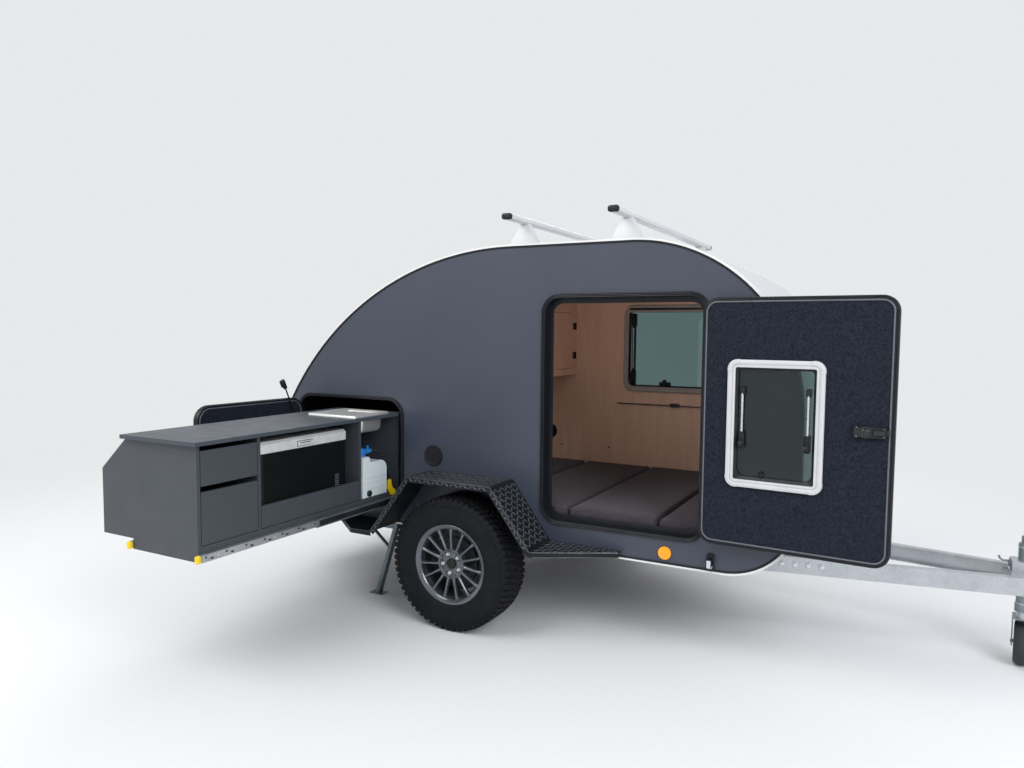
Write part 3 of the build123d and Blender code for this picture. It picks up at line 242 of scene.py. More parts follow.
# The water can's free hose: the same points as its route in the part's source
HOSE_ROUTE = (
    (-550.0, 150.0, 867.0),
    (-550.0, 106.0, 867.0),
    (-551.0, 50.0, 832.0),
    (-548.0, 8.0, 773.0),
    (-531.0, -11.0, 700.0),
    (-531.0, -11.0, 635.0),
)
HOSE_R = 5.0
hose_line = bpy.data.curves.new("drinking_hose", "CURVE")
hose_line.dimensions = "3D"
hose_spline = hose_line.splines.new("NURBS")
hose_spline.points.add(len(HOSE_ROUTE) - 1)
for knot, (x, out, z) in zip(hose_spline.points, HOSE_ROUTE):
    knot.co = (*kerb(x, out, z), 1.0)
hose_spline.order_u = 3
hose_spline.use_endpoint_u = True
hose_spline.resolution_u = 16
hose_line.bevel_depth = HOSE_R * MM
hose_line.bevel_resolution = 5
hose_line.use_fill_caps = True
hose = link("drinking_hose", hose_line)
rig.ride(hose, "kitchen")
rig.replaces(hose, "water_hose")
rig.cord(hose, exit=kerb(*HOSE_ROUTE[0]), length=0.32, diameter=2 * HOSE_R * MM, far_end="object",
        stiffness="medium", lay="hanging")


# Node trees for the finishes, the mask of the painted shade inside the kitchen bay and the copies

class Tree:
    """Short calls for adding and joining nodes."""

    def __init__(self, tree):
        self.tree = tree

    def add(self, kind, **settings):
        node = self.tree.nodes.new(kind)
        for key, value in settings.items():
            setattr(node, key, value)
        return node

    def join(self, source, target):
        self.tree.links.new(source, target)

    def fill(self, target, value):
        """Give a socket a number or join it to another socket."""
        if isinstance(value, bpy.types.NodeSocket):
            self.join(value, target)
        else:
            target.default_value = value

    def math(self, operation, a, b=0.0):
        node = self.add("ShaderNodeMath", operation=operation)
        self.fill(node.inputs[0], a)
        self.fill(node.inputs[1], b)
        return node.outputs[0]

    def noise(self, vector, scale, detail=3.0, rough=0.55):
        node = self.add("ShaderNodeTexNoise")
        self.join(vector, node.inputs["Vector"])
        for label, value in (("Scale", scale), ("Detail", detail), ("Roughness", rough)):
            self.fill(node.inputs[label], value)
        return node.outputs["Fac"]

    def ramp(self, value, low, high, low_out=0.0, high_out=1.0):
        node = self.add("ShaderNodeMapRange")
        for label, given in (("Value", value), ("From Min", low), ("From Max", high), ("To Min", low_out),
                             ("To Max", high_out)):
            self.fill(node.inputs[label], given)
        return node.outputs["Result"]

    def mix(self, factor, a, b):
        node = self.add("ShaderNodeMix", data_type="RGBA")
        self.fill(node.inputs["Factor"], factor)
        self.fill(node.inputs[6], a)
        self.fill(node.inputs[7], b)
        return node.outputs[2]

    def choose_shader(self, factor, first, second):
        node = self.add("ShaderNodeMixShader")
        for socket, source in zip(node.inputs, (factor, first, second)):
            self.join(source, socket)
        return node.outputs[0]


class Group(Tree):
    """A node group: its inputs are rows of label, kind and value, its outputs rows of label and kind."""

    def __init__(self, name, inputs, outputs, kind="ShaderNodeTree"):
        super().__init__(bpy.data.node_groups.new(name, kind))
        for label, sort, value in inputs:
            socket = self.tree.interface.new_socket(label, in_out="INPUT", socket_type="NodeSocket" + sort)
            if value is not None:
                socket.default_value = value
        for label, sort in outputs:
            self.tree.interface.new_socket(label, in_out="OUTPUT", socket_type="NodeSocket" + sort)
        self.given = self.add("NodeGroupInput").outputs
        self.made = self.add("NodeGroupOutput").inputs


class Effect(Group):
    """An effect that several finishes share."""

    def __init__(self, name):
        inputs = (("Tone", "Color", (0.5, 0.5, 0.5, 1.0)), ("Tone Two", "Color", (0.4, 0.4, 0.4, 1.0)),
                  ("Scale", "Float", 1.0), ("Rough Low", "Float", 0.4), ("Rough High", "Float", 0.5))
        super().__init__(name, inputs, (("Color", "Color"), ("Roughness", "Float"), ("Height", "Float")))
        self.at = self.add("ShaderNodeTexCoord").outputs["Object"]

    def scaled(self, number):
        return self.math("MULTIPLY", self.given["Scale"], number)

    def grain(self, scale, detail, rough=0.55, stretch=None):
        at = self.at
        if stretch:
            node = self.add("ShaderNodeMapping")
            self.join(at, node.inputs["Vector"])
            node.inputs["Scale"].default_value = stretch
            at = node.outputs["Vector"]
        return self.noise(at, self.scaled(scale), detail, rough)

    def cells(self, scale):
        node = self.add("ShaderNodeTexVoronoi")
        self.join(self.at, node.inputs["Vector"])
        self.fill(node.inputs["Scale"], self.scaled(scale))
        return node.outputs

    def blend(self, a, share, b, other_share):
        return self.math("ADD", self.math("MULTIPLY", a, share), self.math("MULTIPLY", b, other_share))

    def close(self, tone, spread, rough, height, rough_spread=(0.3, 0.7)):
        """Join the patterns to the group's outputs."""
        given = self.given
        tone = self.ramp(tone, *spread) if spread else tone
        self.join(self.mix(tone, given["Tone"], given["Tone Two"]), self.made["Color"])
        rough = self.ramp(rough, *rough_spread, given["Rough Low"], given["Rough High"])
        self.join(rough, self.made["Roughness"])
        self.join(height, self.made["Height"])


def make_effects():
    # Smooth painted sheet with a faint peel and slow changes of tone
    e = Effect("painted_sheet")
    e.close(e.grain(1.7, 4.0), (0.35, 0.7), e.noise(e.at, 9.0, 5.0), e.grain(260.0, 2.0))

    # Grained plastic or rubber
    e = Effect("moulded")
    cloud = e.grain(14.0, 5.0)
    e.close(cloud, (0.35, 0.75), cloud, e.grain(900.0, 2.0))

    # Wood veneer with its grain upright
    e = Effect("veneer")
    fibres = e.grain(2.0, 3.0, stretch=(90.0, 90.0, 4.0))
    mixed = e.blend(e.grain(3.0, 6.0, 0.6, (7.0, 7.0, 0.9)), 0.65, fibres, 0.35)
    e.close(mixed, (0.38, 0.62), mixed, fibres)

    # Needle felt
    e = Effect("felt")
    both = e.blend(e.grain(95.0, 6.0, 0.75), 0.65, e.grain(620.0, 3.0, stretch=(1.0, 1.0, 0.35)), 0.35)
    e.close(both, (0.36, 0.64), both, both)

    # Hot-dip zinc with its crystals
    e = Effect("zinc")
    crystal = e.add("ShaderNodeSeparateColor")
    e.join(e.cells(130.0)["Color"], crystal.inputs[0])
    cloud = e.grain(9.0, 5.0, 0.65)
    both = e.blend(crystal.outputs[0], 0.16, cloud, 0.84)
    e.close(both, (0.3, 0.7), both, cloud)

    # Brushed or drawn metal, lines along the row's X axis
    e = Effect("brushed")
    lines = e.grain(6.0, 2.0, stretch=(3.0, 160.0, 160.0))
    e.close(lines, None, lines, lines)

    # Plain weave of two threads
    e = Effect("weave")
    parts = e.add("ShaderNodeSeparateXYZ")
    e.join(e.at, parts.inputs[0])
    pitch = e.scaled(2800.0)
    diagonals = [e.math("ADD", parts.outputs[way], parts.outputs["Z"]) for way in "XY"]
    warp, weft = [e.math("SINE", e.math("MULTIPLY", diagonal, pitch)) for diagonal in diagonals]
    fleck = e.grain(420.0, 2.0)
    shade = e.blend(e.grain(30.0, 5.0), 0.6, fleck, 0.4)
    threads = e.math("ADD", e.math("MULTIPLY", e.math("MULTIPLY", warp, weft), 0.5), fleck)
    e.close(shade, (0.35, 0.65), shade, threads)

    # Tyre rubber with road dust in clouds
    e = Effect("tyre_rubber")
    cloud = e.grain(16.0, 6.0, 0.7)
    e.close(cloud, (0.4, 0.75), cloud, e.grain(500.0, 2.0))

    # A lens moulded with small prisms
    e = Effect("prisms")
    spread = e.cells(300.0)["Distance"]
    e.close(spread, None, spread, spread, (0.0, 0.8))


BULKHEAD_X = AXLE_X - 0.458
SHELF_Z = GROUND_Z + 1.168


def make_bay_shade_mask():
    """A shader group that puts out 1 behind the bulkhead and under the shelf, inside the kitchen bay, where the walls
    take a painted shade.
    """
    limits = (("Bulkhead", "Float", BULKHEAD_X), ("Shelf", "Float", SHELF_Z))
    t = Group("kitchen_side_mask", limits, (("Mask", "Float"),))
    parts = t.add("ShaderNodeSeparateXYZ")
    t.join(t.add("ShaderNodeTexCoord").outputs["Object"], parts.inputs[0])
    behind = t.math("LESS_THAN", parts.outputs["X"], t.given["Bulkhead"])
    below = t.math("LESS_THAN", parts.outputs["Z"], t.given["Shelf"])
    t.join(t.math("MULTIPLY", behind, below), t.made["Mask"])


make_effects()
make_bay_shade_mask()


def new_material(name):
    material = bpy.data.materials.new(name)
    material.use_nodes = True
    return material, Tree(material.node_tree), material.node_tree.nodes["Principled BSDF"].inputs


def finish(name, effect, tone, tone_two, rough, scale=1.0, bump=0.1, depth=0.001, lining=None, **sockets):
    """A material: one effect group feeding a Principled shader whose other sockets are plain values."""
    material, tree, shader = new_material(name)
    group = tree.add("ShaderNodeGroup", node_tree=bpy.data.node_groups[effect])
    for label, value in (("Tone", (*tone, 1.0)), ("Tone Two", (*tone_two, 1.0)), ("Scale", scale),
                         ("Rough Low", rough[0]), ("Rough High", rough[1])):
        group.inputs[label].default_value = value
    color = group.outputs["Color"]
    # Painted shade: inside the kitchen bay the faces take a near-black tone in place of the shade there
    if lining:
        mask = tree.add("ShaderNodeGroup", node_tree=bpy.data.node_groups["kitchen_side_mask"])
        color = tree.mix(mask.outputs["Mask"], color, (*lining, 1.0))
    tree.join(color, shader["Base Color"])
    tree.join(group.outputs["Roughness"], shader["Roughness"])
    lift = tree.add("ShaderNodeBump")
    lift.inputs["Strength"].default_value = bump
    lift.inputs["Distance"].default_value = depth
    tree.join(group.outputs["Height"], lift.inputs["Height"])
    tree.join(lift.outputs["Normal"], shader["Normal"])
    for key, value in sockets.items():
        shader[key.replace("_", " ")].default_value = value
    return material


def clear_pane(name, tone):
    material, tree, shader = new_material(name)
    haze = tree.noise(tree.add("ShaderNodeTexCoord").outputs["Object"], 3.0)
    faint = [c * 0.92 for c in tone]
    tree.join(tree.mix(tree.ramp(haze, 0.3, 0.7), (*tone, 1.0), (*faint, 1.0)), shader["Base Color"])
    for label, value in (("Roughness", 0.03), ("Transmission Weight", 0.95), ("IOR", 1.45)):
        shader[label].default_value = value
    return material


VENEER = ((0.78, 0.53, 0.4), (0.7, 0.46, 0.335), (0.4, 0.55))
# Painted shade: the near-black tone that the cabin wall and birch faces take inside the kitchen bay
BAY_SHADE_TONE = (0.012, 0.013, 0.016)

# Each finish: its effect, two tones, the spread of its roughness, and what differs from a plain material
LOOKS = {
    "body_paint": ("painted_sheet", (0.04, 0.0475, 0.072), (0.037, 0.044, 0.067), (0.36, 0.46), dict(
        bump=0.04, depth=0.0003, Coat_Weight=0.15, Coat_Roughness=0.2)),
    "cabin_wall": ("veneer", *VENEER, dict(bump=0.08, depth=0.0004, lining=BAY_SHADE_TONE)),
    "white_skin": ("painted_sheet", (0.58, 0.6, 0.62), (0.56, 0.58, 0.6), (0.3, 0.34), dict(
        bump=0.01, depth=0.0002, Coat_Weight=0.2, Coat_Roughness=0.15)),
    "white_trim": ("painted_sheet", (0.74, 0.74, 0.73), (0.68, 0.68, 0.67), (0.3, 0.42), dict(
        bump=0.04, depth=0.0003)),
    "seal_rubber": ("moulded", (0.008, 0.0095, 0.0135), (0.006, 0.007, 0.01), (0.3, 0.42), dict(
        depth=0.0004, Specular_IOR_Level=0.32)),
    "ridge_rubber": ("moulded", (0.009, 0.0105, 0.015), (0.008, 0.0095, 0.0135), (0.28, 0.34), dict(
        bump=0.01, depth=0.0001, Specular_IOR_Level=0.36)),
    "latch_satin": ("moulded", (0.009, 0.01, 0.012), (0.014, 0.015, 0.018), (0.26, 0.36), dict(
        depth=0.0003, Specular_IOR_Level=0.55)),
    "felt": ("felt", (0.006, 0.0075, 0.0125), (0.027, 0.032, 0.046), (0.9, 1.0), dict(
        bump=0.6, depth=0.002, Specular_IOR_Level=0.05)),
    "piping": ("moulded", (0.115, 0.12, 0.14), (0.09, 0.095, 0.115), (0.4, 0.55), dict(depth=0.0004)),
    "veneer": ("veneer", *VENEER, dict(bump=0.08, depth=0.0004)),
    "birch": ("veneer", (0.62, 0.44, 0.29), (0.52, 0.35, 0.21), (0.45, 0.6), dict(
        depth=0.0004, lining=BAY_SHADE_TONE)),
    "underfloor": ("moulded", (0.05, 0.045, 0.04), (0.035, 0.032, 0.03), (0.7, 0.85), dict(bump=0.2)),
    "mattress_cover": ("weave", (0.038, 0.031, 0.041), (0.06, 0.05, 0.064), (0.85, 0.95), dict(
        bump=0.35, depth=0.0008, Specular_IOR_Level=0.1, Sheen_Weight=0.12, Sheen_Roughness=0.5)),
    "window_beige": ("moulded", (0.36, 0.33, 0.32), (0.32, 0.29, 0.28), (0.4, 0.5), dict(
        bump=0.08, depth=0.0003)),
    "black_plastic": ("moulded", (0.007, 0.0075, 0.009), (0.012, 0.013, 0.015), (0.34, 0.48), dict(
        bump=0.12, depth=0.0003, Specular_IOR_Level=0.35)),
    # Painted glow: the emission lights up the amber reflectors and the unlit indicators, though no lamp shines in them
    "amber": ("prisms", (0.95, 0.4, 0.0), (0.8, 0.22, 0.0), (0.2, 0.3), dict(
        bump=0.25, depth=0.0008, Coat_Weight=0.3, Emission_Color=(1.0, 0.36, 0.0, 1.0),
        Emission_Strength=0.16)),
    "lamp_red": ("prisms", (0.5, 0.01, 0.008), (0.4, 0.008, 0.006), (0.12, 0.2), dict(
        bump=0.25, depth=0.0008, Coat_Weight=0.6)),
    "bar_white": ("painted_sheet", (0.6, 0.61, 0.62), (0.56, 0.57, 0.58), (0.3, 0.42), dict(bump=0.05)),
    "guard_black": ("painted_sheet", (0.006, 0.007, 0.01), (0.01, 0.012, 0.016), (0.34, 0.5), dict(
        scale=4.0, Specular_IOR_Level=0.25)),
    "lozenge_black": ("painted_sheet", (0.03, 0.034, 0.043), (0.052, 0.058, 0.07), (0.22, 0.34), dict(
        scale=8.0, bump=0.05, Specular_IOR_Level=0.9)),
    "zinc": ("zinc", (0.42, 0.44, 0.47), (0.56, 0.58, 0.61), (0.34, 0.48), dict(
        bump=0.06, depth=0.0004, Metallic=0.8)),
    "zinc_shaded": ("zinc", (0.03, 0.035, 0.038), (0.06, 0.067, 0.072), (0.4, 0.6), dict(
        bump=0.08, depth=0.0004, Metallic=0.6)),
    "frame_white": ("moulded", (0.56, 0.56, 0.58), (0.51, 0.51, 0.53), (0.28, 0.4), dict(
        bump=0.05, depth=0.0003)),
    "zinc_dull": ("zinc", (0.19, 0.235, 0.25), (0.3, 0.35, 0.37), (0.38, 0.55), dict(
        bump=0.08, depth=0.0004, Metallic=0.8)),
    "steady_zinc": ("zinc", (0.1, 0.13, 0.145), (0.19, 0.23, 0.25), (0.38, 0.55), dict(
        bump=0.08, depth=0.0004, Metallic=0.8)),
    "bright_zinc": ("zinc", (0.6, 0.63, 0.66), (0.75, 0.78, 0.8), (0.2, 0.34), dict(
        scale=2.0, bump=0.05, depth=0.0003, Metallic=0.9)),
    "cast_black": ("moulded", (0.016, 0.017, 0.018), (0.026, 0.027, 0.028), (0.35, 0.6), dict(
        scale=0.5, bump=0.3, depth=0.0008)),
    "axle_black": ("moulded", (0.02, 0.02, 0.021), (0.035, 0.034, 0.033), (0.5, 0.7), dict(bump=0.2)),
    "tyre": ("tyre_rubber", (0.006, 0.0065, 0.0085), (0.012, 0.0125, 0.0145), (0.55, 0.75), dict(
        bump=0.2, depth=0.0006, Specular_IOR_Level=0.14)),
    "gunmetal": ("painted_sheet", (0.14, 0.155, 0.175), (0.1, 0.112, 0.128), (0.2, 0.32), dict(
        scale=6.0, bump=0.04, depth=0.0003, Metallic=0.75, Coat_Weight=0.4, Coat_Roughness=0.08)),
    # Painted shade: a near-black gunmetal on the rim's barrel, round the wheel nuts, in the slide's holes and along
    # its channel, in place of the shade in these hollows
    "gunmetal_painted_shade": ("painted_sheet", (0.03, 0.034, 0.04), (0.02, 0.023, 0.028), (0.35, 0.5), dict(
        scale=6.0, bump=0.04, depth=0.0003, Metallic=0.5)),
    "panel_grey": ("moulded", (0.05, 0.058, 0.069), (0.046, 0.054, 0.064), (0.42, 0.52), dict(
        scale=0.8, bump=0.08, depth=0.0003)),
    "worktop_grey": ("moulded", (0.056, 0.068, 0.083), (0.052, 0.063, 0.077), (0.42, 0.52), dict(
        bump=0.08, depth=0.0003, Specular_IOR_Level=0.35)),
    "steel": ("brushed", (0.74, 0.74, 0.73), (0.86, 0.86, 0.84), (0.34, 0.46), dict(
        bump=0.05, depth=0.0003, Metallic=0.8)),
    "coolbox_black": ("moulded", (0.0035, 0.004, 0.005), (0.0045, 0.005, 0.006), (0.38, 0.42), dict(
        bump=0.03, depth=0.0002, Specular_IOR_Level=0.22)),
    "lid_silver": ("moulded", (0.6, 0.61, 0.6), (0.47, 0.48, 0.48), (0.35, 0.45), dict(
        bump=0.08, depth=0.0003)),
    "can_white": ("moulded", (0.7, 0.75, 0.78), (0.64, 0.7, 0.74), (0.35, 0.5), dict(
        scale=0.4, depth=0.0006, Subsurface_Weight=0.25, Subsurface_Scale=0.02)),
    "cap_blue": ("moulded", (0.02, 0.22, 0.62), (0.016, 0.18, 0.54), (0.28, 0.4), dict(
        bump=0.08, depth=0.0003, Coat_Weight=0.2)),
    "lever_yellow": ("moulded", (0.85, 0.6, 0.01), (0.76, 0.52, 0.008), (0.3, 0.42), dict(depth=0.0003)),
    "hose_grey": ("moulded", (0.03, 0.032, 0.035), (0.045, 0.047, 0.05), (0.25, 0.4), dict(depth=0.0003)),
    "jockey_rubber": ("moulded", (0.02, 0.02, 0.022), (0.035, 0.035, 0.035), (0.6, 0.75), dict(bump=0.2)),
}
FINISHES = {name: finish(name, *look[:4], **look[4]) for name, look in LOOKS.items()}
FINISHES["tint"] = clear_pane("tint", (0.13, 0.2, 0.205))
hose_line.materials.append(FINISHES["hose_grey"])

# The CAD nodes of each finish
NODES_OF_FINISH = {
    "white_skin": "shell_front shell_roof shell_rear",
    "underfloor": "floor",
    "body_paint": "side_right side_left door_panel hatch",
    "white_trim": "edge_trims",
    "seal_rubber": "door_frame kitchen_frame door_edge",
    "frame_white": "door_window_frame",
    "tint": "door_window_pane window_pane_left",
    "black_plastic": "door_latch door_catch side_vents kitchen_lamp",
    "birch": "rear_furniture bed_base",
    "veneer": "overhead_cabinet cabinet_door_right cabinet_door_left",
    "mattress_cover": "mattress",
    "window_beige": "window_frame_left",
    "amber": "side_reflectors",
    "bar_white": "roof_bars",
    "lamp_red": "rear_lamps",
    "guard_black": "mudguards",
    "zinc_shaded": "chassis",
    "zinc": "drawbar jockey_inner_tube rails_inner",
    "cast_black": "coupling",
    "axle_black": "axle",
    "tyre": "tyre_right tyre_left",
    "gunmetal": "rim_right rim_left",
    "zinc_dull": "jockey_outer_tube jockey_fork rails_fixed rails_middle",
    "jockey_rubber": "jockey_wheel",
    "steady_zinc": "steady_tracks steady_leg_right steady_leg_left steady_brace_right steady_brace_left",
    "panel_grey": "kitchen_carcass drawer_lower drawer_upper coolbox_tray",
    "worktop_grey": "worktop",
    "steel": "sink_unit",
    "coolbox_black": "coolbox",
    "lid_silver": "coolbox_lid",
    "can_white": "water_can",
    "hose_grey": "water_hose",
}
CAN_TOP = GROUND_Z + 0.8465


def paint(nodes, outside, inside=None, is_inside=None):
    """Give CAD nodes their finish, and a second one to the faces that a rule picks."""
    for node in nodes.split():
        mesh = frame["nodes"][node].data
        mesh.materials.clear()
        mesh.materials.append(FINISHES[outside])
        if inside:
            mesh.materials.append(FINISHES[inside])
        for face in mesh.polygons:
            face.material_index = 1 if inside and is_inside(face.center, face.normal) else 0


def towards_cabin(centre, normal):
    """True for a wall's face that looks into the body, or for the edge of a cut through it."""
    return abs(centre.y) < HALF_WIDTH * MM - 0.001


def inner_skin(centre, normal):
    middle = spot(300, 0, 1100)
    away = Vector((centre.x - middle.x, 0.0, centre.z - middle.z))
    return normal.dot(away) < 0.0 or abs(normal.y) > 0.9


def cap_and_tap(centre, normal):
    """True for the water can's cap and tap."""
    return centre.z > CAN_TOP or (centre.z > CAN_TOP - 0.0005 and abs(normal.z) < 0.5)


for name, nodes in NODES_OF_FINISH.items():
    paint(nodes, name)
paint("side_right side_left", "body_paint", "cabin_wall", towards_cabin)
paint("shell_front shell_roof shell_rear", "white_skin", "cabin_wall", inner_skin)
paint("door_panel", "body_paint", "felt", lambda centre, normal: normal.y < -0.9)
paint("hatch", "body_paint", "felt", lambda centre, normal: normal.x > 0.9)
paint("cabinet_door_right cabinet_door_left", "veneer", "black_plastic",
      lambda centre, normal: centre.x > spot(-24.7, 0, 0).x)
paint("water_can", "can_white", "cap_blue", cap_and_tap)


class Shape:
    """Points and faces of one piece, gathered from rings of points that are joined one after another."""

    def __init__(self, turned=None):
        self.points = []
        self.faces = []
        self.turned = turned

    def skin(self, rings, closed=False, caps=True):
        start = len(self.points)
        count = len(rings)
        wide = len(rings[0])
        for ring in rings:
            for point in ring:
                self.points.append(self.turned(point) if self.turned else point)
        for i in range(count if closed else count - 1):
            low = start + i * wide
            high = start + (i + 1) % count * wide
            for j in range(wide):
                k = (j + 1) % wide
                self.faces.append((low + j, low + k, high + k, high + j))
        if caps and not closed:
            self.faces.append(tuple(start + j for j in reversed(range(wide))))
            self.faces.append(tuple(start + (count - 1) * wide + j for j in range(wide)))
        return self

    def blocks(self, where, *rows):
        """Blocks with cut edges, each a row of both X, both Y, both Z and the cut's width, in millimetres."""
        for row in rows:
            (x0, x1), (y0, y1), (z0, z1) = (sorted(row[i:i + 2]) for i in (0, 2, 4))
            b = min(row[6], (x1 - x0) / 3, (y1 - y0) / 3, (z1 - z0) / 3)
            rings = []
            for height, inset in ((z0, b), (z0 + b, 0.0), (z1 - b, 0.0), (z1, b)):
                a0, a1, c0, c1 = x0 + inset, x1 - inset, y0 + inset, y1 - inset
                corners = ((a0 + b, c0), (a1 - b, c0), (a1, c0 + b), (a1, c1 - b), (a1 - b, c1), (a0 + b, c1),
                           (a0, c1 - b), (a0, c0 + b))
                rings.append([where(*p, height) for p in corners])
            self.skin(rings)
        return self

    def lathe(self, profile, centre, axis, sides=32):
        """A closed profile of (along, radius) in millimetres, turned about an axis through a point."""
        axis = Vector(axis).normalized()
        across = Vector((0.0, 0.0, 1.0)) if abs(axis.z) < 0.9 else Vector((1.0, 0.0, 0.0))
        first = axis.cross(across).normalized()
        second = axis.cross(first)
        rings = []
        for i in range(sides):
            angle = 2 * math.pi * i / sides
            reach = math.cos(angle) * first + math.sin(angle) * second
            rings.append([centre + (axis * along + reach * radius) * MM for along, radius in profile])
        return self.skin(rings, closed=True)

    def tube(self, path, radius, sides=12):
        """A round bar along points."""
        rings = []
        side = None
        for i, point in enumerate(path):
            along = (path[min(i + 1, len(path) - 1)] - path[max(i - 1, 0)]).normalized()
            if side is None:
                side = along.orthogonal().normalized()
            side = (side - along * side.dot(along)).normalized()
            other = along.cross(side)
            rings.append([point + (math.cos(t) * side + math.sin(t) * other) * radius * MM
                          for t in (2 * math.pi * j / sides for j in range(sides))])
        return self.skin(rings)

    def strip(self, loop, section, where=kerb, closed=True):
        """A section of (across, out) carried along a loop of (x, z, nx, nz)."""
        rings = [[where(x + across * nx, out, z + across * nz) for across, out in section]
                 for x, z, nx, nz in loop]
        return self.skin(rings, closed=closed)

    def bar(self, section, ends, where=kerb):
        """A section of (out, z) drawn straight between values of X."""
        return self.skin([[where(x, out, z) for out, z in section] for x in ends])

    def plate(self, outline_points, heights, where=kerb):
        """A flat outline of (x, out) drawn straight between heights."""
        return self.skin([[where(x, out, z) for x, out in outline_points] for z in heights])


def mesh_of(name, shape, angle=35.0):
    mesh = bpy.data.meshes.new(name)
    mesh.from_pydata([tuple(p) for p in shape.points], [], shape.faces)
    work = bmesh.new()
    work.from_mesh(mesh)
    bmesh.ops.remove_doubles(work, verts=work.verts, dist=1e-6)
    bmesh.ops.recalc_face_normals(work, faces=work.faces)
    work.to_mesh(mesh)
    work.free()
    mesh.shade_smooth()
    mesh.set_sharp_from_angle(angle=math.radians(angle))
    return mesh


def carry(name, mesh, body, slot):
    piece = link(name, mesh)
    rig.ride(piece, body)
    if slot:
        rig.slot(piece, slot)
    return piece


def add_piece(name, shape, finish_name, body, slot=None, angle=35.0):
    mesh = mesh_of(name, shape, angle)
    mesh.materials.append(FINISHES[finish_name])
    return carry(name, mesh, body, slot)


def make_copies_tree():
    """Geometry nodes that set a copy on each point, turned and sized by the point's own attributes."""
    inputs = (("Places", "Geometry", None), ("Copy", "Object", None), ("Size", "Float", None),
              ("Finish", "Material", None))
    t = Group("set_out_copies", inputs, (("Copies", "Geometry"),), "GeometryNodeTree")
    source = t.add("GeometryNodeObjectInfo")
    fields = {}
    for label in ("turn", "size"):
        node = t.add("GeometryNodeInputNamedAttribute", data_type="FLOAT_VECTOR")
        node.inputs["Name"].default_value = label
        fields[label] = next(s for s in node.outputs if s.enabled and s.name == "Attribute")
    euler = t.add("FunctionNodeEulerToRotation")
    sized = t.add("ShaderNodeVectorMath", operation="SCALE")
    setter = t.add("GeometryNodeInstanceOnPoints")
    real = t.add("GeometryNodeRealizeInstances")
    coat = t.add("GeometryNodeSetMaterial")
    for output, target in (
            (t.given["Copy"], source.inputs["Object"]), (fields["turn"], euler.inputs[0]),
            (fields["size"], sized.inputs[0]), (t.given["Size"], sized.inputs["Scale"]),
            (t.given["Places"], setter.inputs["Points"]),
            (source.outputs["Geometry"], setter.inputs["Instance"]),
            (euler.outputs[0], setter.inputs["Rotation"]), (sized.outputs[0], setter.inputs["Scale"]),
            (setter.outputs["Instances"], real.inputs["Geometry"]),
            (real.outputs["Geometry"], coat.inputs["Geometry"]), (t.given["Finish"], coat.inputs["Material"]),
            (coat.outputs["Geometry"], t.made["Copies"])):
        t.join(output, target)
    return t.tree


COPIES = make_copies_tree()


def baked_mesh(piece, modifier):
    """The piece's mesh as its modifiers leave it. The given modifier is then taken away."""
    graph = bpy.context.evaluated_depsgraph_get()
    mesh = bpy.data.meshes.new_from_object(piece.evaluated_get(graph))
    piece.modifiers.remove(modifier)
    return mesh


def add_copies(name, unit, places, finish_name, body, slot=None, angle=35.0):
    """Copies of a unit shape, drawn in millimetres about the origin, at places of (point, turn, size)."""
    source = link("unit_shape", mesh_of("unit_shape", unit, angle))
    points = bpy.data.meshes.new("places")
    points.from_pydata([tuple(p) for p, _, _ in places], [], [])
    for label, column in (("turn", 1), ("size", 2)):
        attribute = points.attributes.new(label, "FLOAT_VECTOR", "POINT")
        for item, row in zip(attribute.data, places):
            item.vector = row[column]
    carrier = link("places", points)
    setter = carrier.modifiers.new("copies", "NODES")
    setter.node_group = COPIES
    values = {"Copy": source, "Size": 1.0, "Finish": FINISHES[finish_name]}
    for item in COPIES.interface.items_tree:
        if item.name in values:
            setter[item.identifier] = values[item.name]
    mesh = baked_mesh(carrier, setter)
    mesh.name = name
    for made in (carrier, source):
        bpy.data.objects.remove(made)
    return carry(name, mesh, body, slot)


def upright_copies(points, size=FULL_SIZE):
    return [(point, UNTURNED, size) for point in points]


def local(x, y, z):
    """A point of a unit shape, in millimetres about the origin."""
    return Vector((x, y, z)) * MM


def rounded_loop(x0, x1, z0, z1, radii, steps=9):
    """A rounded rectangle as points with their outward normals: radii from the lower left, anticlockwise."""
    corners = ((x0, z0, 1, 1, 180), (x1, z0, -1, 1, 270), (x1, z1, -1, -1, 0), (x0, z1, 1, -1, 90))
    loop = []
    for (x, z, sx, sz, start), radius in zip(corners, radii):
        for i in range(steps + 1):
            angle = math.radians(start + 90 * i / steps)
            nx, nz = math.cos(angle), math.sin(angle)
            loop.append((x + sx * radius + radius * nx, z + sz * radius + radius * nz, nx, nz))
    return loop


def inset_loop(opening, inset):
    """A loop inside an opening, which is a rectangle with its radii."""
    (x0, x1, z0, z1), radii = opening
    return rounded_loop(x0 + inset, x1 - inset, z0 + inset, z1 - inset, [max(r - inset, 2.0) for r in radii])


def level_rings(x0, x1, y0, y1, steps, radius):
    """Rounded rings that lie flat, for steps of (growth, height). A radius gives the corner for a growth."""
    rings = []
    for grow, z in steps:
        ring = rounded_loop(x0 - grow, x1 + grow, y0 - grow, y1 + grow, (radius(grow),) * 4, 6)
        rings.append([spot(a, b, z) for a, b, _, _ in ring])
    return rings


def round_section(across, out, radius, sides=10):
    angles = [2 * math.pi * i / sides for i in range(sides)]
    return [(across + radius * math.cos(t), out + radius * math.sin(t)) for t in angles]


def ridge_section(start, stop, count, base, high, foot):
    """Rounded ridges side by side from start to stop, standing on base, closed along foot."""
    section = []
    pitch = (stop - start) / count
    for i in range(count):
        left = start + i * pitch
        for share, lift in ((0.06, 0.0), (0.22, 0.75), (0.5, 1.0), (0.78, 0.75), (0.94, 0.0)):
            section.append((left + share * pitch, base + lift * high))
    return section + [(section[-1][0], foot), (section[0][0], foot)]


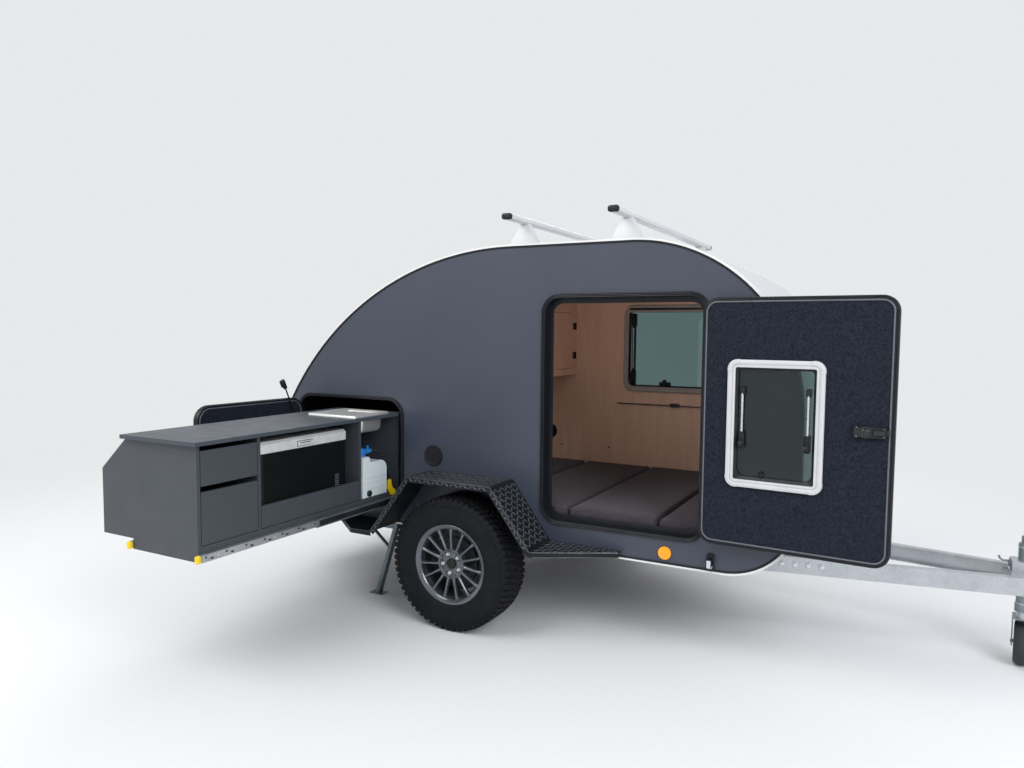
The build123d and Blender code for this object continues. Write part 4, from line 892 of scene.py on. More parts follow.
def side_ridge_section(*sizes):
    """Ridges that stand across the edge and not out of the face."""
    return [(b, a) for a, b in ridge_section(*sizes)]


# Turns of the entry door and of the hatch from closed to where they stand in the photograph

def hinge_turn(x, out, degrees):
    pin = kerb(x, out, 0)
    spin = Matrix.Rotation(math.radians(degrees), 4, "Z")
    about = Matrix.Translation(pin) @ spin @ Matrix.Translation(-pin)
    return lambda point: about @ point


door_turn = hinge_turn(1201, 18, 176.7)
hatch_turn = hinge_turn(-1190, 20, -92.0)

# Openings and leaves of the side view: X, X, Z, Z and the radii
DOOR = ((400.0, 1226.0, 564.0, 1698.0), (95.0,) * 4)
LEAF = ((434.0, 1192.0, 598.0, 1664.0), (61.0,) * 4)
BAY = ((-1210.0, -436.0, 530.0, 1145.0), (55.0, 55.0, 105.0, 105.0))
HATCH = ((-1183.0, -463.0, 557.0, 1118.0), (28.0, 28.0, 78.0, 78.0))
DOOR_WINDOW = ((688.0, 1076.0, 863.0, 1403.0), (40.0,) * 4)
CABIN_WINDOW = ((320.0, 1220.0, 1131.0, 1696.0), (70.0,) * 4)
VENT_X = -238
VENT_Z = 845


def outline(inset, step=2.5):
    """The side view's points with outward normals, from the tail's underside over the roof to the nose."""
    arcs = ((-1252.3, 647.0, 200.0, 270.0, 163.3), (219.0, 206.0, 1736.0, 163.3, 90.0),
            (849.0, 1170.0, 772.0, 90.0, 0.0), (1303.0, 765.0, 318.0, 0.0, -90.0))
    points = []
    for x, z, radius, start, end in arcs:
        steps = max(6, int(abs(end - start) / step * math.sqrt(radius / 400.0)))
        for i in range(steps + 1):
            angle = math.radians(start + (end - start) * i / steps)
            nx, nz = math.cos(angle), math.sin(angle)
            points.append((x + (radius - inset) * nx, z + (radius - inset) * nz, nx, nz))
    return points


def make_body_details():
    seals, sill, edge, rims, slats, lenses, caps, strips, pads = [Shape() for _ in range(9)]
    line = outline(9.0)
    for where, side in SIDES:
        joint = [(-4.8, -1.0), (-4.8, 3.4), (-3.6, 4.4), (3.6, 4.4), (4.8, 3.4), (4.8, -1.0)]
        seals.strip(line, joint, where, False)
        ends = (-1252.0, 1303.0)
        sill.bar(((-0.5, 442.2), (2.4, 442.2), (3.0, 442.8), (3.0, 451.5), (-0.5, 451.5)), ends, where)
        dark = ((-0.5, 451.2), (3.6, 451.2), (4.4, 452.4), (4.4, 459.4), (3.6, 460.6), (-0.5, 460.6))
        edge.bar(dark, ends, where)
        rims.lathe([(-1, 44), (-1, 56), (2.5, 55), (3.5, 52), (3.2, 47), (1.5, 44)], where(VENT_X, 5, VENT_Z),
                   (0, side, 0), 48)
        for i in range(7):
            z = VENT_Z - 36 + 12 * i
            half = math.sqrt(45.0 ** 2 - (z - VENT_Z) ** 2)
            blade = ((4.5, z - 4.5), (6.4, z - 4.5), (8.2, z + 1.5), (7.4, z + 2.5), (4.5, z + 2.5))
            slats.bar(blade, (VENT_X - half, VENT_X, VENT_X + half), where)
        lenses.lathe([(0, 24), (0, 30), (1.4, 29.6), (1.9, 28), (1.9, 26.5), (0.6, 25.8), (0.6, 24)],
                     where(1042, 8, 503), (0, side, 0), 48)
    door_ridges = Shape().strip(inset_loop(DOOR, 0), ridge_section(-20.5, -0.5, 3, 8.0, 3.6, 6.0))
    bay_ridges = Shape().strip(inset_loop(BAY, 0), ridge_section(-13.0, -0.5, 2, 8.0, 2.4, 6.0))
    for x in (272.0, 812.0):
        for side in (-1, 1):
            rings = []
            for y, grow in ((850, 0.8), (864, 0.8), (868, -1.5), (869, -4.0)):
                ring = rounded_loop(x - 25 - grow, x + 25 + grow, 2050 - grow, 2078 + grow,
                                    (10 + grow,) * 4, 4)
                rings.append([spot(a, side * y, b) for a, b, _, _ in ring])
            caps.skin(rings)
            pads.blocks(spot, (x - 78, x + 78, side * 621, side * 699, 1937, 1946, 2.0))
        strips.blocks(spot, (x - 8, x + 8, -848, 848, 2077, 2079.5, 0.8))
    for name, shape, finish_name, slot in (
            ("trim_joint_seals", seals, "seal_rubber", "frame_black"),
            ("sill_trims", sill, "white_trim", "edge_white"),
            ("sill_seals", edge, "seal_rubber", "frame_black"),
            ("door_frame_ridges", door_ridges, "ridge_rubber", "frame_black"),
            ("kitchen_frame_ridges", bay_ridges, "ridge_rubber", "frame_black"),
            ("vent_rims", rims, "black_plastic", "vent_plastic"),
            ("vent_slats", slats, "black_plastic", "vent_plastic"),
            ("reflector_rims", lenses, "amber", "reflector_amber"),
            ("roof_bar_end_caps", caps, "black_plastic", "latch_black"),
            ("roof_bar_strips", strips, "seal_rubber", "frame_black"),
            ("roof_bar_pads", pads, "seal_rubber", "frame_black")):
        add_piece(name, shape, finish_name, "trailer", slot)


def make_door_details():
    rim = Shape(door_turn).strip(inset_loop(LEAF, 0), ridge_section(-13.0, -0.5, 2, -32.0, -2.2, -30.0))
    rim.strip(inset_loop(LEAF, 0), side_ridge_section(-31.0, 6.0, 4, 0.0, 2.0, -3.0))
    add_piece("door_rim_ridges", rim, "ridge_rubber", "entry_door", "frame_black")
    piping = Shape(door_turn).strip(inset_loop(LEAF, 17), round_section(0.0, -32.0, 3.6))
    add_piece("door_piping", piping, "piping", "entry_door", "hatch_felt")

    loop = inset_loop(DOOR_WINDOW, 0)
    beads = Shape(door_turn)
    beads.strip(loop, [(-18.0, -42.0), (-17.5, -44.5), (-15.0, -46.0), (-4.0, -45.4), (-1.0, -44.0),
                       (0.6, -40.0), (0.6, -31.5), (-2.0, -31.5), (-2.0, -42.0)])
    beads.strip(loop, [(-31.5, -42.0), (-31.5, -44.6), (-29.5, -45.6), (-23.0, -45.2), (-21.5, -43.8),
                       (-21.5, -42.0)])
    add_piece("door_window_beads", beads, "frame_white", "entry_door", "edge_white")
    corners = Shape(door_turn)
    reach = 9.0
    steps = len(loop) // 4
    for i in range(4):
        bend = loop[i * steps:(i + 1) * steps]
        x, z, nx, nz = bend[0]
        first = (x + nz * reach, z - nx * reach, nx, nz)
        x, z, nx, nz = bend[-1]
        last = (x - nz * reach, z + nx * reach, nx, nz)
        section = [(-19.0, -43.0), (-18.6, -45.6), (-15.0, -47.6), (-4.0, -47.0), (0.4, -45.4), (2.2, -40.0),
                   (2.2, -31.5), (0.0, -31.5), (0.0, -43.0)]
        corners.strip([first] + bend + [last], section, kerb, False)
    add_piece("door_window_corner_caps", corners, "frame_white", "entry_door", "edge_white")
    seal = Shape(door_turn)
    x0, x1, z0, z1 = DOOR_WINDOW[0]
    frame_edge = rounded_loop(x0 + 31.5, x1 - 31.5, z0 + 31.5, z1 - 31.5, (9.0,) * 4)
    seal_edge = rounded_loop(x0 + 43, x1 - 43, z0 + 45, z1 - 41, (34.0, 34.0, 16.0, 16.0))
    rings = []
    for outer, inner in zip(frame_edge, seal_edge):
        ring = [(outer, -19.0), (outer, -38.0), (inner, -29.0), (inner, -24.0), (inner, -19.2)]
        rings.append([kerb(point[0], out, point[1]) for point, out in ring])
    seal.skin(rings, closed=True)
    seal.strip(inset_loop(DOOR_WINDOW, 22), [(0.8, -42.0), (0.8, -43.3), (-0.4, -43.3), (-0.4, -42.0)])
    seal.strip(inset_loop(DOOR_WINDOW, 14),
               [(0.0, 10.5), (0.0, 12.4), (-6.0, 13.4), (-20.0, 12.0), (-20.0, 10.0)])
    add_piece("door_window_seals", seal, "seal_rubber", "entry_door", "frame_black")

    stays = Shape(door_turn)
    clamps = Shape(door_turn)
    for x in (1014.0, 750.0):
        stays.tube([kerb(x, -33, 1262), kerb(x, -33, 1095)], 5.5, 14)
        clamps.blocks(kerb, (x - 12, x + 12, -42, -20, 1028, 1100, 4.0),
                      (x - 7, x + 7, -48, -41, 1042, 1070, 3.0),
                      (x - 10, x + 10, -38, -20, 1255, 1290, 3.0))
        clamps.lathe([(-9, 3), (-9, 13), (0, 14.5), (9, 13), (9, 3)], kerb(x, -44, 1048), X_AXIS, 20)
    clamps.blocks(kerb, (916, 944, -30, -19, 912, 926, 3.0), (925, 935, -36, -28, 908, 932, 2.0))
    add_piece("door_window_stays", stays, "bright_zinc", "entry_door")
    add_piece("door_window_clamps", clamps, "black_plastic", "entry_door", "latch_black")

    latch = Shape(door_turn)
    latch.lathe([(0, 2), (0, 24), (4, 23), (5, 18), (9, 17), (22, 15), (24, 12), (24, 2)],
                kerb(536, -46, 1133), Y_AXIS, 28)
    latch.blocks(
        kerb, (533, 539, -73, -69, 1119, 1147, 1.2), (552, 578, -50, -46, 1117, 1149, 2.0),
        (462, 512, -49, -46, 1114, 1117.5, 1.0), (462, 512, -49, -46, 1148.5, 1152, 1.0),
        (466, 508, -53, -46, 1122, 1144, 3.0), (450, 461, -46, -31, 1120, 1146, 2.5),
        (470, 560, 12.5, 26, 1127, 1139, 4.0), (548, 566, 12.5, 26, 1118, 1148, 4.0))
    add_piece("door_latch_knob", latch, "latch_satin", "entry_door", "latch_black")
    screw = Shape().lathe([(0, 1), (0, 3.2), (1.2, 2.6), (1.6, 1)], ORIGIN, TO_KERB, 10)
    places = upright_copies(door_turn(kerb(x, -46, z)) for x in (470.0, 568.0) for z in (1116.5, 1149.5))
    add_copies("latch_screws", screw, places, "bright_zinc", "entry_door")

    hook = Shape().blocks(kerb, (1236, 1268, 12, 18, 456, 530, 1.5), (1240, 1264, 17, 42, 470, 486, 2.5),
                          (1240, 1264, 34, 42, 476, 514, 2.5))
    add_piece("door_catch_hook", hook, "black_plastic", "trailer", "latch_black")
    tongue = Shape().blocks(kerb, (1243, 1261, 41, 44, 474, 510, 1.0), (1264, 1266.5, 18, 40, 472, 484, 1.0))
    add_piece("door_catch_loop", tongue, "bright_zinc", "trailer")


def make_hatch_details():
    rim = Shape(hatch_turn).strip(inset_loop(HATCH, 0), ridge_section(-12.0, -0.5, 2, -22.0, -2.0, -20.5))
    rim.strip(inset_loop(HATCH, 0), side_ridge_section(-21.0, 6.0, 3, 0.0, 2.6, -2.0))
    add_piece("hatch_rim_ridges", rim, "ridge_rubber", "trailer", "frame_black")
    piping = Shape(hatch_turn).strip(inset_loop(HATCH, 15), round_section(0.0, -22.2, 3.4))
    add_piece("hatch_piping", piping, "piping", "trailer", "hatch_felt")
    box_low, box_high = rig.box("kitchen_lamp")
    head = Vector(((box_low[0] + box_high[0]) / 2, box_low[1] + 0.014, box_high[2] - 0.026))
    bulb = Shape().lathe([(-18, 9), (-18, 13.2), (14, 14.2), (18, 12.5), (18, 9)], head, (0, -0.42, 0.9), 24)
    add_piece("lamp_shade", bulb, "black_plastic", "trailer", "lamp_black")


# Wheels: the tyre's own tread and the rim's spokes stand for the plain solids

WHEEL_Y = 849.5
WHEEL_Z = 341
SPOKES = 15
STUDS = 5
LUGS = 62
TYRE_PROFILE = [
    (78, 190), (84, 192), (90, 203), (93, 208), (97, 214), (101, 222), (100.5, 225), (103, 230), (106, 245),
    (107.3, 262), (107.3, 276), (106, 290), (103.8, 297), (104.4, 300), (103, 303), (100, 314), (95, 323),
    (86, 329), (60, 331.5), (30, 332.5), (0, 333)]

# Each ring of lugs: name, size of a lug, and rows of count, Y, radius, the two sides' starts and lean
TREAD = (
    ("tread_middle_", (22.0, 24.0, 9.2, 0.35), ((LUGS, 16.0, 331.0, (-0.25, 0.25), 0.0),
                                                (LUGS, 47.0, 330.6, (0.5, 0.5), 0.0))),
    ("tread_shoulder_", (21.0, 26.0, 8.6, 0.0), ((LUGS, 80.0, 329.3, (0.25, 0.25), -0.1),)),
    ("tread_side_", (18.0, 15.0, 3.0, 0.0), ((LUGS, 97.0, 321.0, (0.25, 0.25), -0.95),)),
    ("sidewall_notches_", (7.0, 12.0, 1.6, 0.0), ((2 * LUGS, 104.6, 300.0, (0.25, 0.25), -1.45),)),
)


def lug(long, wide, high, tilt):
    """A tread block: long round the tyre, wide along the axle, standing up."""
    rings = []
    for z, grow in ((-4.0, 1.5), (high - 1.5, 0.0), (high, -1.0)):
        a, b = long / 2 + grow, wide / 2 + grow
        corners = ((-a, -b), (-a / 3, -b - 1), (a, -b), (a, b), (a / 3, b + 1), (-a, b))
        rings.append([local(x + tilt * y, y, z) for x, y in corners])
    return Shape().skin(rings)


def make_wheel(name, side):
    centre = spot(0, side * WHEEL_Y, WHEEL_Z)
    body = "wheel_" + name
    axis = Vector((0.0, side, 0.0))

    def at_angle(angle):
        return Vector((math.sin(angle), 0.0, math.cos(angle)))

    def turned(*profiles):
        shape = Shape()
        for profile, sides in profiles:
            shape.lathe(profile, centre, axis, sides)
        return shape

    def around(count, y, radius, start, lean):
        places = []
        for i in range(count):
            angle = 2 * math.pi * (i + start) / count
            where = centre + Vector((math.sin(angle) * radius, y, math.cos(angle) * radius)) * MM
            spun = Matrix.Rotation(angle, 4, "Y") @ Matrix.Rotation(lean, 4, "X")
            places.append((where, tuple(spun.to_euler()), FULL_SIZE))
        return places

    profile = TYRE_PROFILE + [(-y, r) for y, r in TYRE_PROFILE[::-1][1:]]
    tyre = add_piece("tyre_carcass_" + name, turned((profile, 96)), "tyre", body, "tyre", 50.0)
    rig.replaces(tyre, "tyre_" + name)
    for label, size, rows in TREAD:
        places = []
        for sign, end in ((-1, 0), (1, 1)):
            for count, y, radius, starts, lean in rows:
                places += around(count, sign * y, radius, starts[end], sign * lean)
        add_copies(label + name, lug(*size), places, "tyre", body, "tyre")

    rim = turned(([(84, 205), (89, 204.5), (91, 202), (90.5, 198), (85, 186), (80, 179.5), (70, 177),
                   (60, 178.5), (-72, 178.5), (-84, 192), (-88, 204), (-84, 205), (-78, 189), (78, 189)], 96))
    lip = add_piece("rim_lip_" + name, rim, "gunmetal", body, "rim", 40.0)
    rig.replaces(lip, "rim_" + name)
    # The barrel takes the painted shade of the hollow behind the spokes
    barrel = turned(([(58, 178.8), (58, 172), (52, 168), (-40, 168), (-60, 172), (-60, 178.8)], 72),
                    ([(-20, 20), (-20, 150), (-6, 150), (-4, 120), (10, 118), (12, 60), (12, 20)], 48))
    add_piece("rim_barrel_" + name, barrel, "gunmetal_painted_shade", body, "rim")
    spokes = Shape()
    for i in range(SPOKES):
        angle = 2 * math.pi * i / SPOKES
        flank = Vector((math.cos(angle), 0.0, -math.sin(angle)))
        rings = []
        for r, wide, top, deep in ((58, 16, 70, 22), (74, 12.5, 73, 20), (96, 10, 75, 18), (140, 9.0, 77, 17),
                                   (166, 11, 78, 18), (180, 17, 77, 20)):
            section = ((-wide * 0.75, top - deep), (-wide * 0.62, top - 3), (-wide * 0.34, top),
                       (wide * 0.34, top), (wide * 0.62, top - 3), (wide * 0.75, top - deep))
            rings.append([centre + (at_angle(angle) * r + flank * a + axis * b) * MM for a, b in section])
        spokes.skin(rings)
    add_piece("rim_spokes_" + name, spokes, "gunmetal", body, "rim")
    hub = turned(([(14, 0), (64, 0), (64, 60), (68, 63), (74, 66), (76, 70), (74, 75), (68, 77), (50, 77),
                   (14, 70)], 64))
    add_piece("rim_hub_" + name, hub, "gunmetal", body, "rim")
    cap = turned(([(63, 0), (73.5, 0), (73.5, 19), (72, 21), (74, 23), (73, 26), (63, 28)], 40))
    add_piece("hub_cap_" + name, cap, "black_plastic", body, "rim")
    nut_profile = [(-2, 0), (-2, 13), (0.5, 13), (1.5, 10.2), (10, 10.2), (13, 8), (14.5, 4), (14.5, 0)]
    nut = Shape().lathe(nut_profile, ORIGIN, axis, 6)
    seats = [centre + (at_angle(2 * math.pi * (i + 0.5) / STUDS + 0.2) * 50.0 + axis * 64.0) * MM
             for i in range(STUDS)]
    add_copies("wheel_nuts_" + name, nut, upright_copies(seats), "zinc", body)
    # Thin dark rings round the nuts: painted shade in their wells
    well = Shape().lathe([(0, 12), (0, 17), (2.2, 16.2), (2.2, 13.5)], ORIGIN, axis, 24)
    wells = upright_copies(seat - axis * 0.5 * MM for seat in seats)
    add_copies("nut_wells_" + name, well, wells, "gunmetal_painted_shade", body, "rim")
    low = centre + (at_angle(0.21) * 172.0 + axis * 66.0) * MM
    valve = Shape().tube([low, low + axis * 24 * MM], 3.6, 12)
    valve.tube([low + axis * 20 * MM, low + axis * 32 * MM], 4.6, 12)
    add_piece("tyre_valve_" + name, valve, "black_plastic", body)


GUARD_LINE = ((-480, 454), (-245, 765), (245, 765), (460, 480), (830, 480))
GUARD_WIDTH = 240.0
LOZENGE_PITCH = 27.0


def make_guard_pattern():
    """Raised lozenges on the mudguards' plates and lips, alternating in their slant."""
    rings = []
    for z, grow in ((-0.4, 1.0), (1.2, 0.86), (2.2, 0.55)):
        a, b = 17.5 * grow, 5.4 * grow
        corners = ((-a, 0), (-a * 0.5, -b * 0.8), (0, -b), (a * 0.5, -b * 0.8), (a, 0),
                   (a * 0.5, b * 0.8), (0, b), (-a * 0.5, b * 0.8))
        rings.append([local(x, y, z) for x, y in corners])
    unit = Shape().skin(rings)
    places = []

    def set_down(point, axes, degrees, size):
        base = Matrix(axes).transposed().to_4x4()
        turned = base @ Matrix.Rotation(math.radians(degrees), 4, "Z")
        places.append((point, tuple(turned.to_euler()), size))

    for (x0, z0), (x1, z1) in zip(GUARD_LINE, GUARD_LINE[1:]):
        long = math.hypot(x1 - x0, z1 - z0)
        along = Vector((x1 - x0, 0.0, z1 - z0)) / long
        upright = Vector((-along.z, 0.0, along.x))
        flat = (along, upright.cross(along), upright)
        count = int((long - 10) / LOZENGE_PITCH)
        for i in range(count):
            s = (long - (count - 1) * LOZENGE_PITCH) / 2 + i * LOZENGE_PITCH
            x = x0 + along.x * s
            z = z0 + along.z * s
            limit = GUARD_WIDTH if x < 480 or z0 != z1 else GUARD_WIDTH - (x - 480) * 200.0 / 355.0
            for j in range(8):
                out = 18.0 + 29.0 * j
                if out > limit - 12:
                    continue
                slant = 45 if (i + j) % 2 else -45
                for where, side in SIDES:
                    set_down(where(x, out, z), flat, slant * side, FULL_SIZE)
            if x1 > 460 and z0 == z1 and x > 470:
                continue
            for where, side in SIDES:
                set_down(where(x - upright.x * 12, GUARD_WIDTH, z - upright.z * 12),
                         (along, upright * -side, Vector((0.0, side, 0.0))), 35 if i % 2 else -35,
                         (0.75, 0.75, 0.75))
    add_copies("guard_lozenges", unit, places, "lozenge_black", "trailer", "checker_black", 60.0)
    lips = Shape()
    edges = Shape()
    front = ((480, 240), (480, 236), (833, 36), (833, 40))
    rear = ((-478, 2), (-478, 240), (-612, 240), (-835, 60), (-835, 2))
    for where, _ in SIDES:
        lips.plate(front, (456.5, 480), where)
        lips.plate(rear, (450.5, 454), where)
        for (x0, out0), (x1, out1) in zip(rear[1:], rear[2:]):
            long = math.hypot(x1 - x0, out1 - out0)
            ax, ao = (out1 - out0) / long * 3.0, -(x1 - x0) / long * 3.0
            lip = ((x0, out0), (x1, out1), (x1 + ax, out1 - abs(ao)), (x0 + ax, out0 - abs(ao)))
            lips.plate(lip, (430, 451), where)
        edges.tube([where(x, out, 453.5) for x, out in rear[1:4]], 2.4, 8)
        edges.tube([where(480, 239.0, 457.5), where(832, 38.5, 457.5)], 2.0, 8)
        edges.tube([where(x, 239.0, z + 0.5) for x, z in GUARD_LINE[:4] + ((482, 480),)], 2.6, 8)
        edges.tube([where(480, 239.0, 480.5), where(830, 42.0, 480.5)], 2.6, 8)
    add_piece("guard_step_lips", lips, "guard_black", "trailer", "checker_black")
    add_piece("guard_edges", edges, "lozenge_black", "trailer", "checker_black")


# Where the front slide's outer face lies along X, and the ribs round the water can's cap
RAIL_FACE = -474
CAP_RIBS = 16
CAP_R = 25.6


def make_kitchen_details():
    plate = Shape().blocks(kerb, (-510.5, -506.4, 629, 729, 969, 990, 1.5))
    add_piece("coolbox_lid_latch_plate", plate, "lid_silver", "coolbox", "coolbox_lid_silver")
    pocket = Shape().blocks(kerb, (-510.5, -508.8, 626.5, 731.5, 966.5, 992.5, 1.0),
                            (-507.0, -505.9, 642, 716, 981, 984.5, 0.4))
    add_piece("coolbox_lid_latch_slots", pocket, "zinc_shaded", "coolbox", "coolbox_black")
    slots = Shape().blocks(kerb, *[(-515.2, -513.4, 440, 468, 735 + 10.5 * i, 740 + 10.5 * i, 0.5)
                                   for i in range(6)])
    add_piece("coolbox_vent_slots", slots, "piping", "coolbox", "coolbox_black")
    seam = Shape().blocks(kerb, (-517, -513.6, 378, 956, 955, 960, 1.0))
    add_piece("coolbox_seam", seam, "seal_rubber", "coolbox", "coolbox_black")

    def bowl_radius(grow):
        return 28 + grow if grow > -26 else 6

    rings = level_rings(-809, -487, -780 - 300, -780, (
        (0.0, 1062.4), (0.0, 1071.0), (-4.0, 1074.6), (-10.0, 1074.9), (-13.0, 1072.6), (-20.0, 1072.4)),
        lambda grow: 22 + grow)
    rings += level_rings(-767, -527, -785 - 186, -785, (
        (0.0, 1072.4), (-5.0, 1069.0), (-9.0, 1040.0), (-13.0, 985.0), (-26.0, 972.5), (-70.0, 970.5),
        (-70.0, 968.6), (-24.0, 968.6), (-8.0, 985.0), (-3.0, 1040.0), (-1.0, 1061.0)), bowl_radius)
    basin = add_piece("sink_pressing", Shape().skin(rings), "steel", "kitchen", "sink_steel", 50.0)
    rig.replaces(basin, "sink_unit")
    drain = Shape().lathe([(0, 8), (0, 26), (2.0, 25), (2.6, 21), (1.2, 18), (1.2, 8)],
                          spot(-647, -878, 970.5), Z_AXIS, 32)
    add_piece("sink_drain", drain, "bright_zinc", "kitchen", "sink_steel")

    can = Shape()
    for i in range(CAP_RIBS):
        angle = 2 * math.pi * i / CAP_RIBS
        x = -550 + CAP_R * math.cos(angle)
        out = 233 + CAP_R * math.sin(angle)
        can.blocks(kerb, (x - 1.6, x + 1.6, out - 1.6, out + 1.6, 851, 883, 0.7))
    can.lathe([(0, 3), (0, 21), (3, 19), (3, 3)], kerb(-550, 233, 886), Z_AXIS, 32)
    can.lathe([(0, 5), (0, 15), (10, 15), (12, 12.5), (12, 5)], kerb(-550, 186, 867), Y_AXIS, 24)
    can.blocks(kerb, (-556, -544, 168, 176, 876, 898, 2.0))
    add_piece("can_cap_ribs", can, "cap_blue", "kitchen", "can_white")
    drain_cap = Shape().lathe([(0, 3), (0, 17), (7, 17), (10, 14), (10, 9), (6, 7), (6, 3)],
                              kerb(-502, 219, 650), X_AXIS, 28)
    add_piece("can_drain_cap", drain_cap, "black_plastic", "kitchen", "can_white")
    ribs = Shape().blocks(kerb, *[(-503, -500.4, 76, 262, z, z + 3, 1.2) for z in (672, 700, 728)])
    add_piece("can_front_ribs", ribs, "can_white", "kitchen", "can_white")

    lever = Shape()
    blade = ((-7, 605), (34, 612), (56, 648), (48, 692), (30, 697), (26, 668), (8, 640), (-7, 636))
    for x0, lean in ((-512.0, 0.0), (-496.0, 12.0)):
        lever.bar([(out + lean, z) for out, z in blade], (x0, x0 + 5))
    lever.lathe([(-16, 3), (-16, 12), (14, 12), (14, 3)], kerb(-502, 16, 622), X_AXIS, 20)
    add_piece("slide_lock_lever", lever, "lever_yellow", "kitchen")
    gland = Shape().lathe([(0, 5.4), (0, 9.6), (7, 7.6), (7, 5.4)], kerb(-531, -11, 635), Z_AXIS, 20)
    add_piece("hose_gland", gland, "black_plastic", "kitchen", "hose_black")

    ends = Shape().blocks(kerb, (-497, -473.6, 1303.2, 1322, 569.4, 600.4, 4.0),
                          (-924.4, -901, 1303.2, 1322, 569.4, 600.4, 4.0))
    add_piece("slide_end_caps", ends, "lever_yellow", "kitchen")
    hole = Shape().lathe([(0, 0), (0, 5.2), (0.35, 5.0), (0.35, 0)], ORIGIN, X_AXIS, 16)
    head = Shape().lathe([(-0.5, 0), (-0.5, 5.5), (0.9, 4.8), (1.3, 2.6), (1.3, 0)], ORIGIN, X_AXIS, 16)
    # Thin dark discs stand for the slide's holes: painted shade
    holes = []
    outs = [1282 - 104 * i for i in range(12)]
    for out in outs:
        holes += upright_copies([kerb(RAIL_FACE, out, 590)])
        holes += upright_copies([kerb(RAIL_FACE, out - 30, 581)], (1.0, 1.8, 0.8))
    add_copies("slide_holes", hole, holes, "gunmetal_painted_shade", "kitchen")
    bolts = upright_copies(kerb(RAIL_FACE, out - 62, 586) for out in outs[::3])
    add_copies("slide_bolts", head, bolts, "bright_zinc", "kitchen")
    # A thin dark strip on the middle slide: painted shade in its channel
    channel = Shape().blocks(kerb, (-469.9, -469.0, 12, 628, 572, 598, 0.2))
    add_piece("slide_channels", channel, "gunmetal_painted_shade", "slide_middle", "galvanised")
    clip = Shape().blocks(kerb, (-469.9, -468.95, 633, 646, 566, 604, 0.2),
                          *[(-469.2, -468.65, out, out + 3, 570, 600, 0.1) for out in (635, 641)])
    add_piece("slide_clips", clip, "zinc_dull", "slide_middle", "galvanised")


def make_cabin_details():
    vent = Shape().lathe([(-3, 3), (-3, 52), (3, 50), (4, 42), (2, 40), (2, 3)],
                         inward(-217, 2, 824), TO_KERB, 40)
    add_piece("cabin_vent", vent, "black_plastic", "trailer", "vent_plastic")
    screw = Shape().lathe([(0, 1), (0, 6.5), (1.4, 5.4), (1.8, 1)], ORIGIN, TO_KERB, 16)
    add_copies("wall_screw_caps", screw, upright_copies([inward(-129, 0, 732), inward(220, 0, 740)]),
               "black_plastic", "trailer")
    rail = Shape().blocks(
        spot, (279, 1240, INSIDE - 14, INSIDE - 1, 1042, 1048, 2.0),
        (640, 700, INSIDE - 22, INSIDE, 1036, 1058, 3.0),
        *[(x, x + 14, INSIDE - 30, INSIDE - 18, 1038, 1062, 3.0) for x in (650, 678)])
    add_piece("wall_rail", rail, "hose_grey", "trailer", "latch_black")

    beads = Shape()
    beads.strip(inset_loop(CABIN_WINDOW, 0), [
        (-12.0, 11.0), (-11.0, 15.0), (-8.0, 16.5), (-3.0, 16.0), (0.5, 13.0), (0.5, 1.0),
        (-4.0, 0.5)], inward)
    beads.strip(inset_loop(CABIN_WINDOW, 20), [
        (-1.0, 11.0), (-1.5, 14.5), (-5.0, 15.5), (-9.5, 14.5), (-10.5, 11.0)], inward)
    add_piece("cabin_window_beads", beads, "window_beige", "trailer", "window_beige")
    seal = Shape().blocks(spot, (356, 1184, INSIDE - 20, INSIDE - 10, 1664, 1674, 2.0))
    seal.strip(inset_loop(CABIN_WINDOW, 32), [
        (0.5, -20.0), (0.5, 8.0), (-4.0, 8.0), (-9.0, 2.0), (-9.0, -20.0)], inward)
    add_piece("cabin_window_seal", seal, "seal_rubber", "trailer", "frame_black")
    cassette = Shape().blocks(spot, (352, 1188, INSIDE - 24, INSIDE - 11, 1674, 1692, 4.0),
                              (362, 1178, INSIDE - 20, INSIDE - 11, 1646, 1663, 3.0))
    add_piece("cabin_blind_cassette", cassette, "window_beige", "trailer", "window_beige")
    stays = Shape()
    rods = Shape()
    for x in (386.0, 1154.0):
        stays.blocks(spot, (x - 16, x + 16, INSIDE - 14, INSIDE + 12, 1170, 1270, 6.0),
                     (x - 22, x + 22, INSIDE - 24, INSIDE - 8, 1214, 1252, 6.0),
                     (x - 12, x + 12, INSIDE - 12, INSIDE + 8, 1268, 1560, 4.0),
                     (x - 18, x + 18, INSIDE - 14, INSIDE + 8, 1555, 1640, 5.0))
        rods.tube([inward(x, 15, 1280), inward(x, 15, 1545)], 4.0, 10)
    for x in (600.0, 940.0):
        stays.blocks(spot, (x - 38, x + 38, INSIDE - 12, INSIDE + 6, 1172, 1196, 5.0),
                     (x - 12, x + 12, INSIDE - 24, INSIDE - 8, 1168, 1212, 4.0))
    add_piece("cabin_window_stays", stays, "black_plastic", "trailer", "latch_black")
    add_piece("cabin_window_rods", rods, "bright_zinc", "trailer")
    outside = Shape().strip(inset_loop(CABIN_WINDOW, 20), [
        (-14.0, 7.5), (-13.0, 10.5), (-7.0, 12.0), (-1.0, 10.5), (0.6, 7.0), (0.6, 0.5),
        (-2.0, 0.5)], far_side)
    add_piece("window_outer_bead", outside, "black_plastic", "trailer", "frame_black")


CUSHION_SEAMS = (-445.0, 75.0, 530.0, 985.0, 1583.0)
CUSHION_Y = (-679.0, 683.0)
CUSHION_Z = (530.0, 645.0)
CUSHION_ROOM = 3.5
NOSE_LOW_X = 1451.0
NOSE_HIGH_X = 1550.0
CUSHION_VOXEL = 0.014
CLOTH_FRAMES = 20
CLOTH_REACH = 7.0


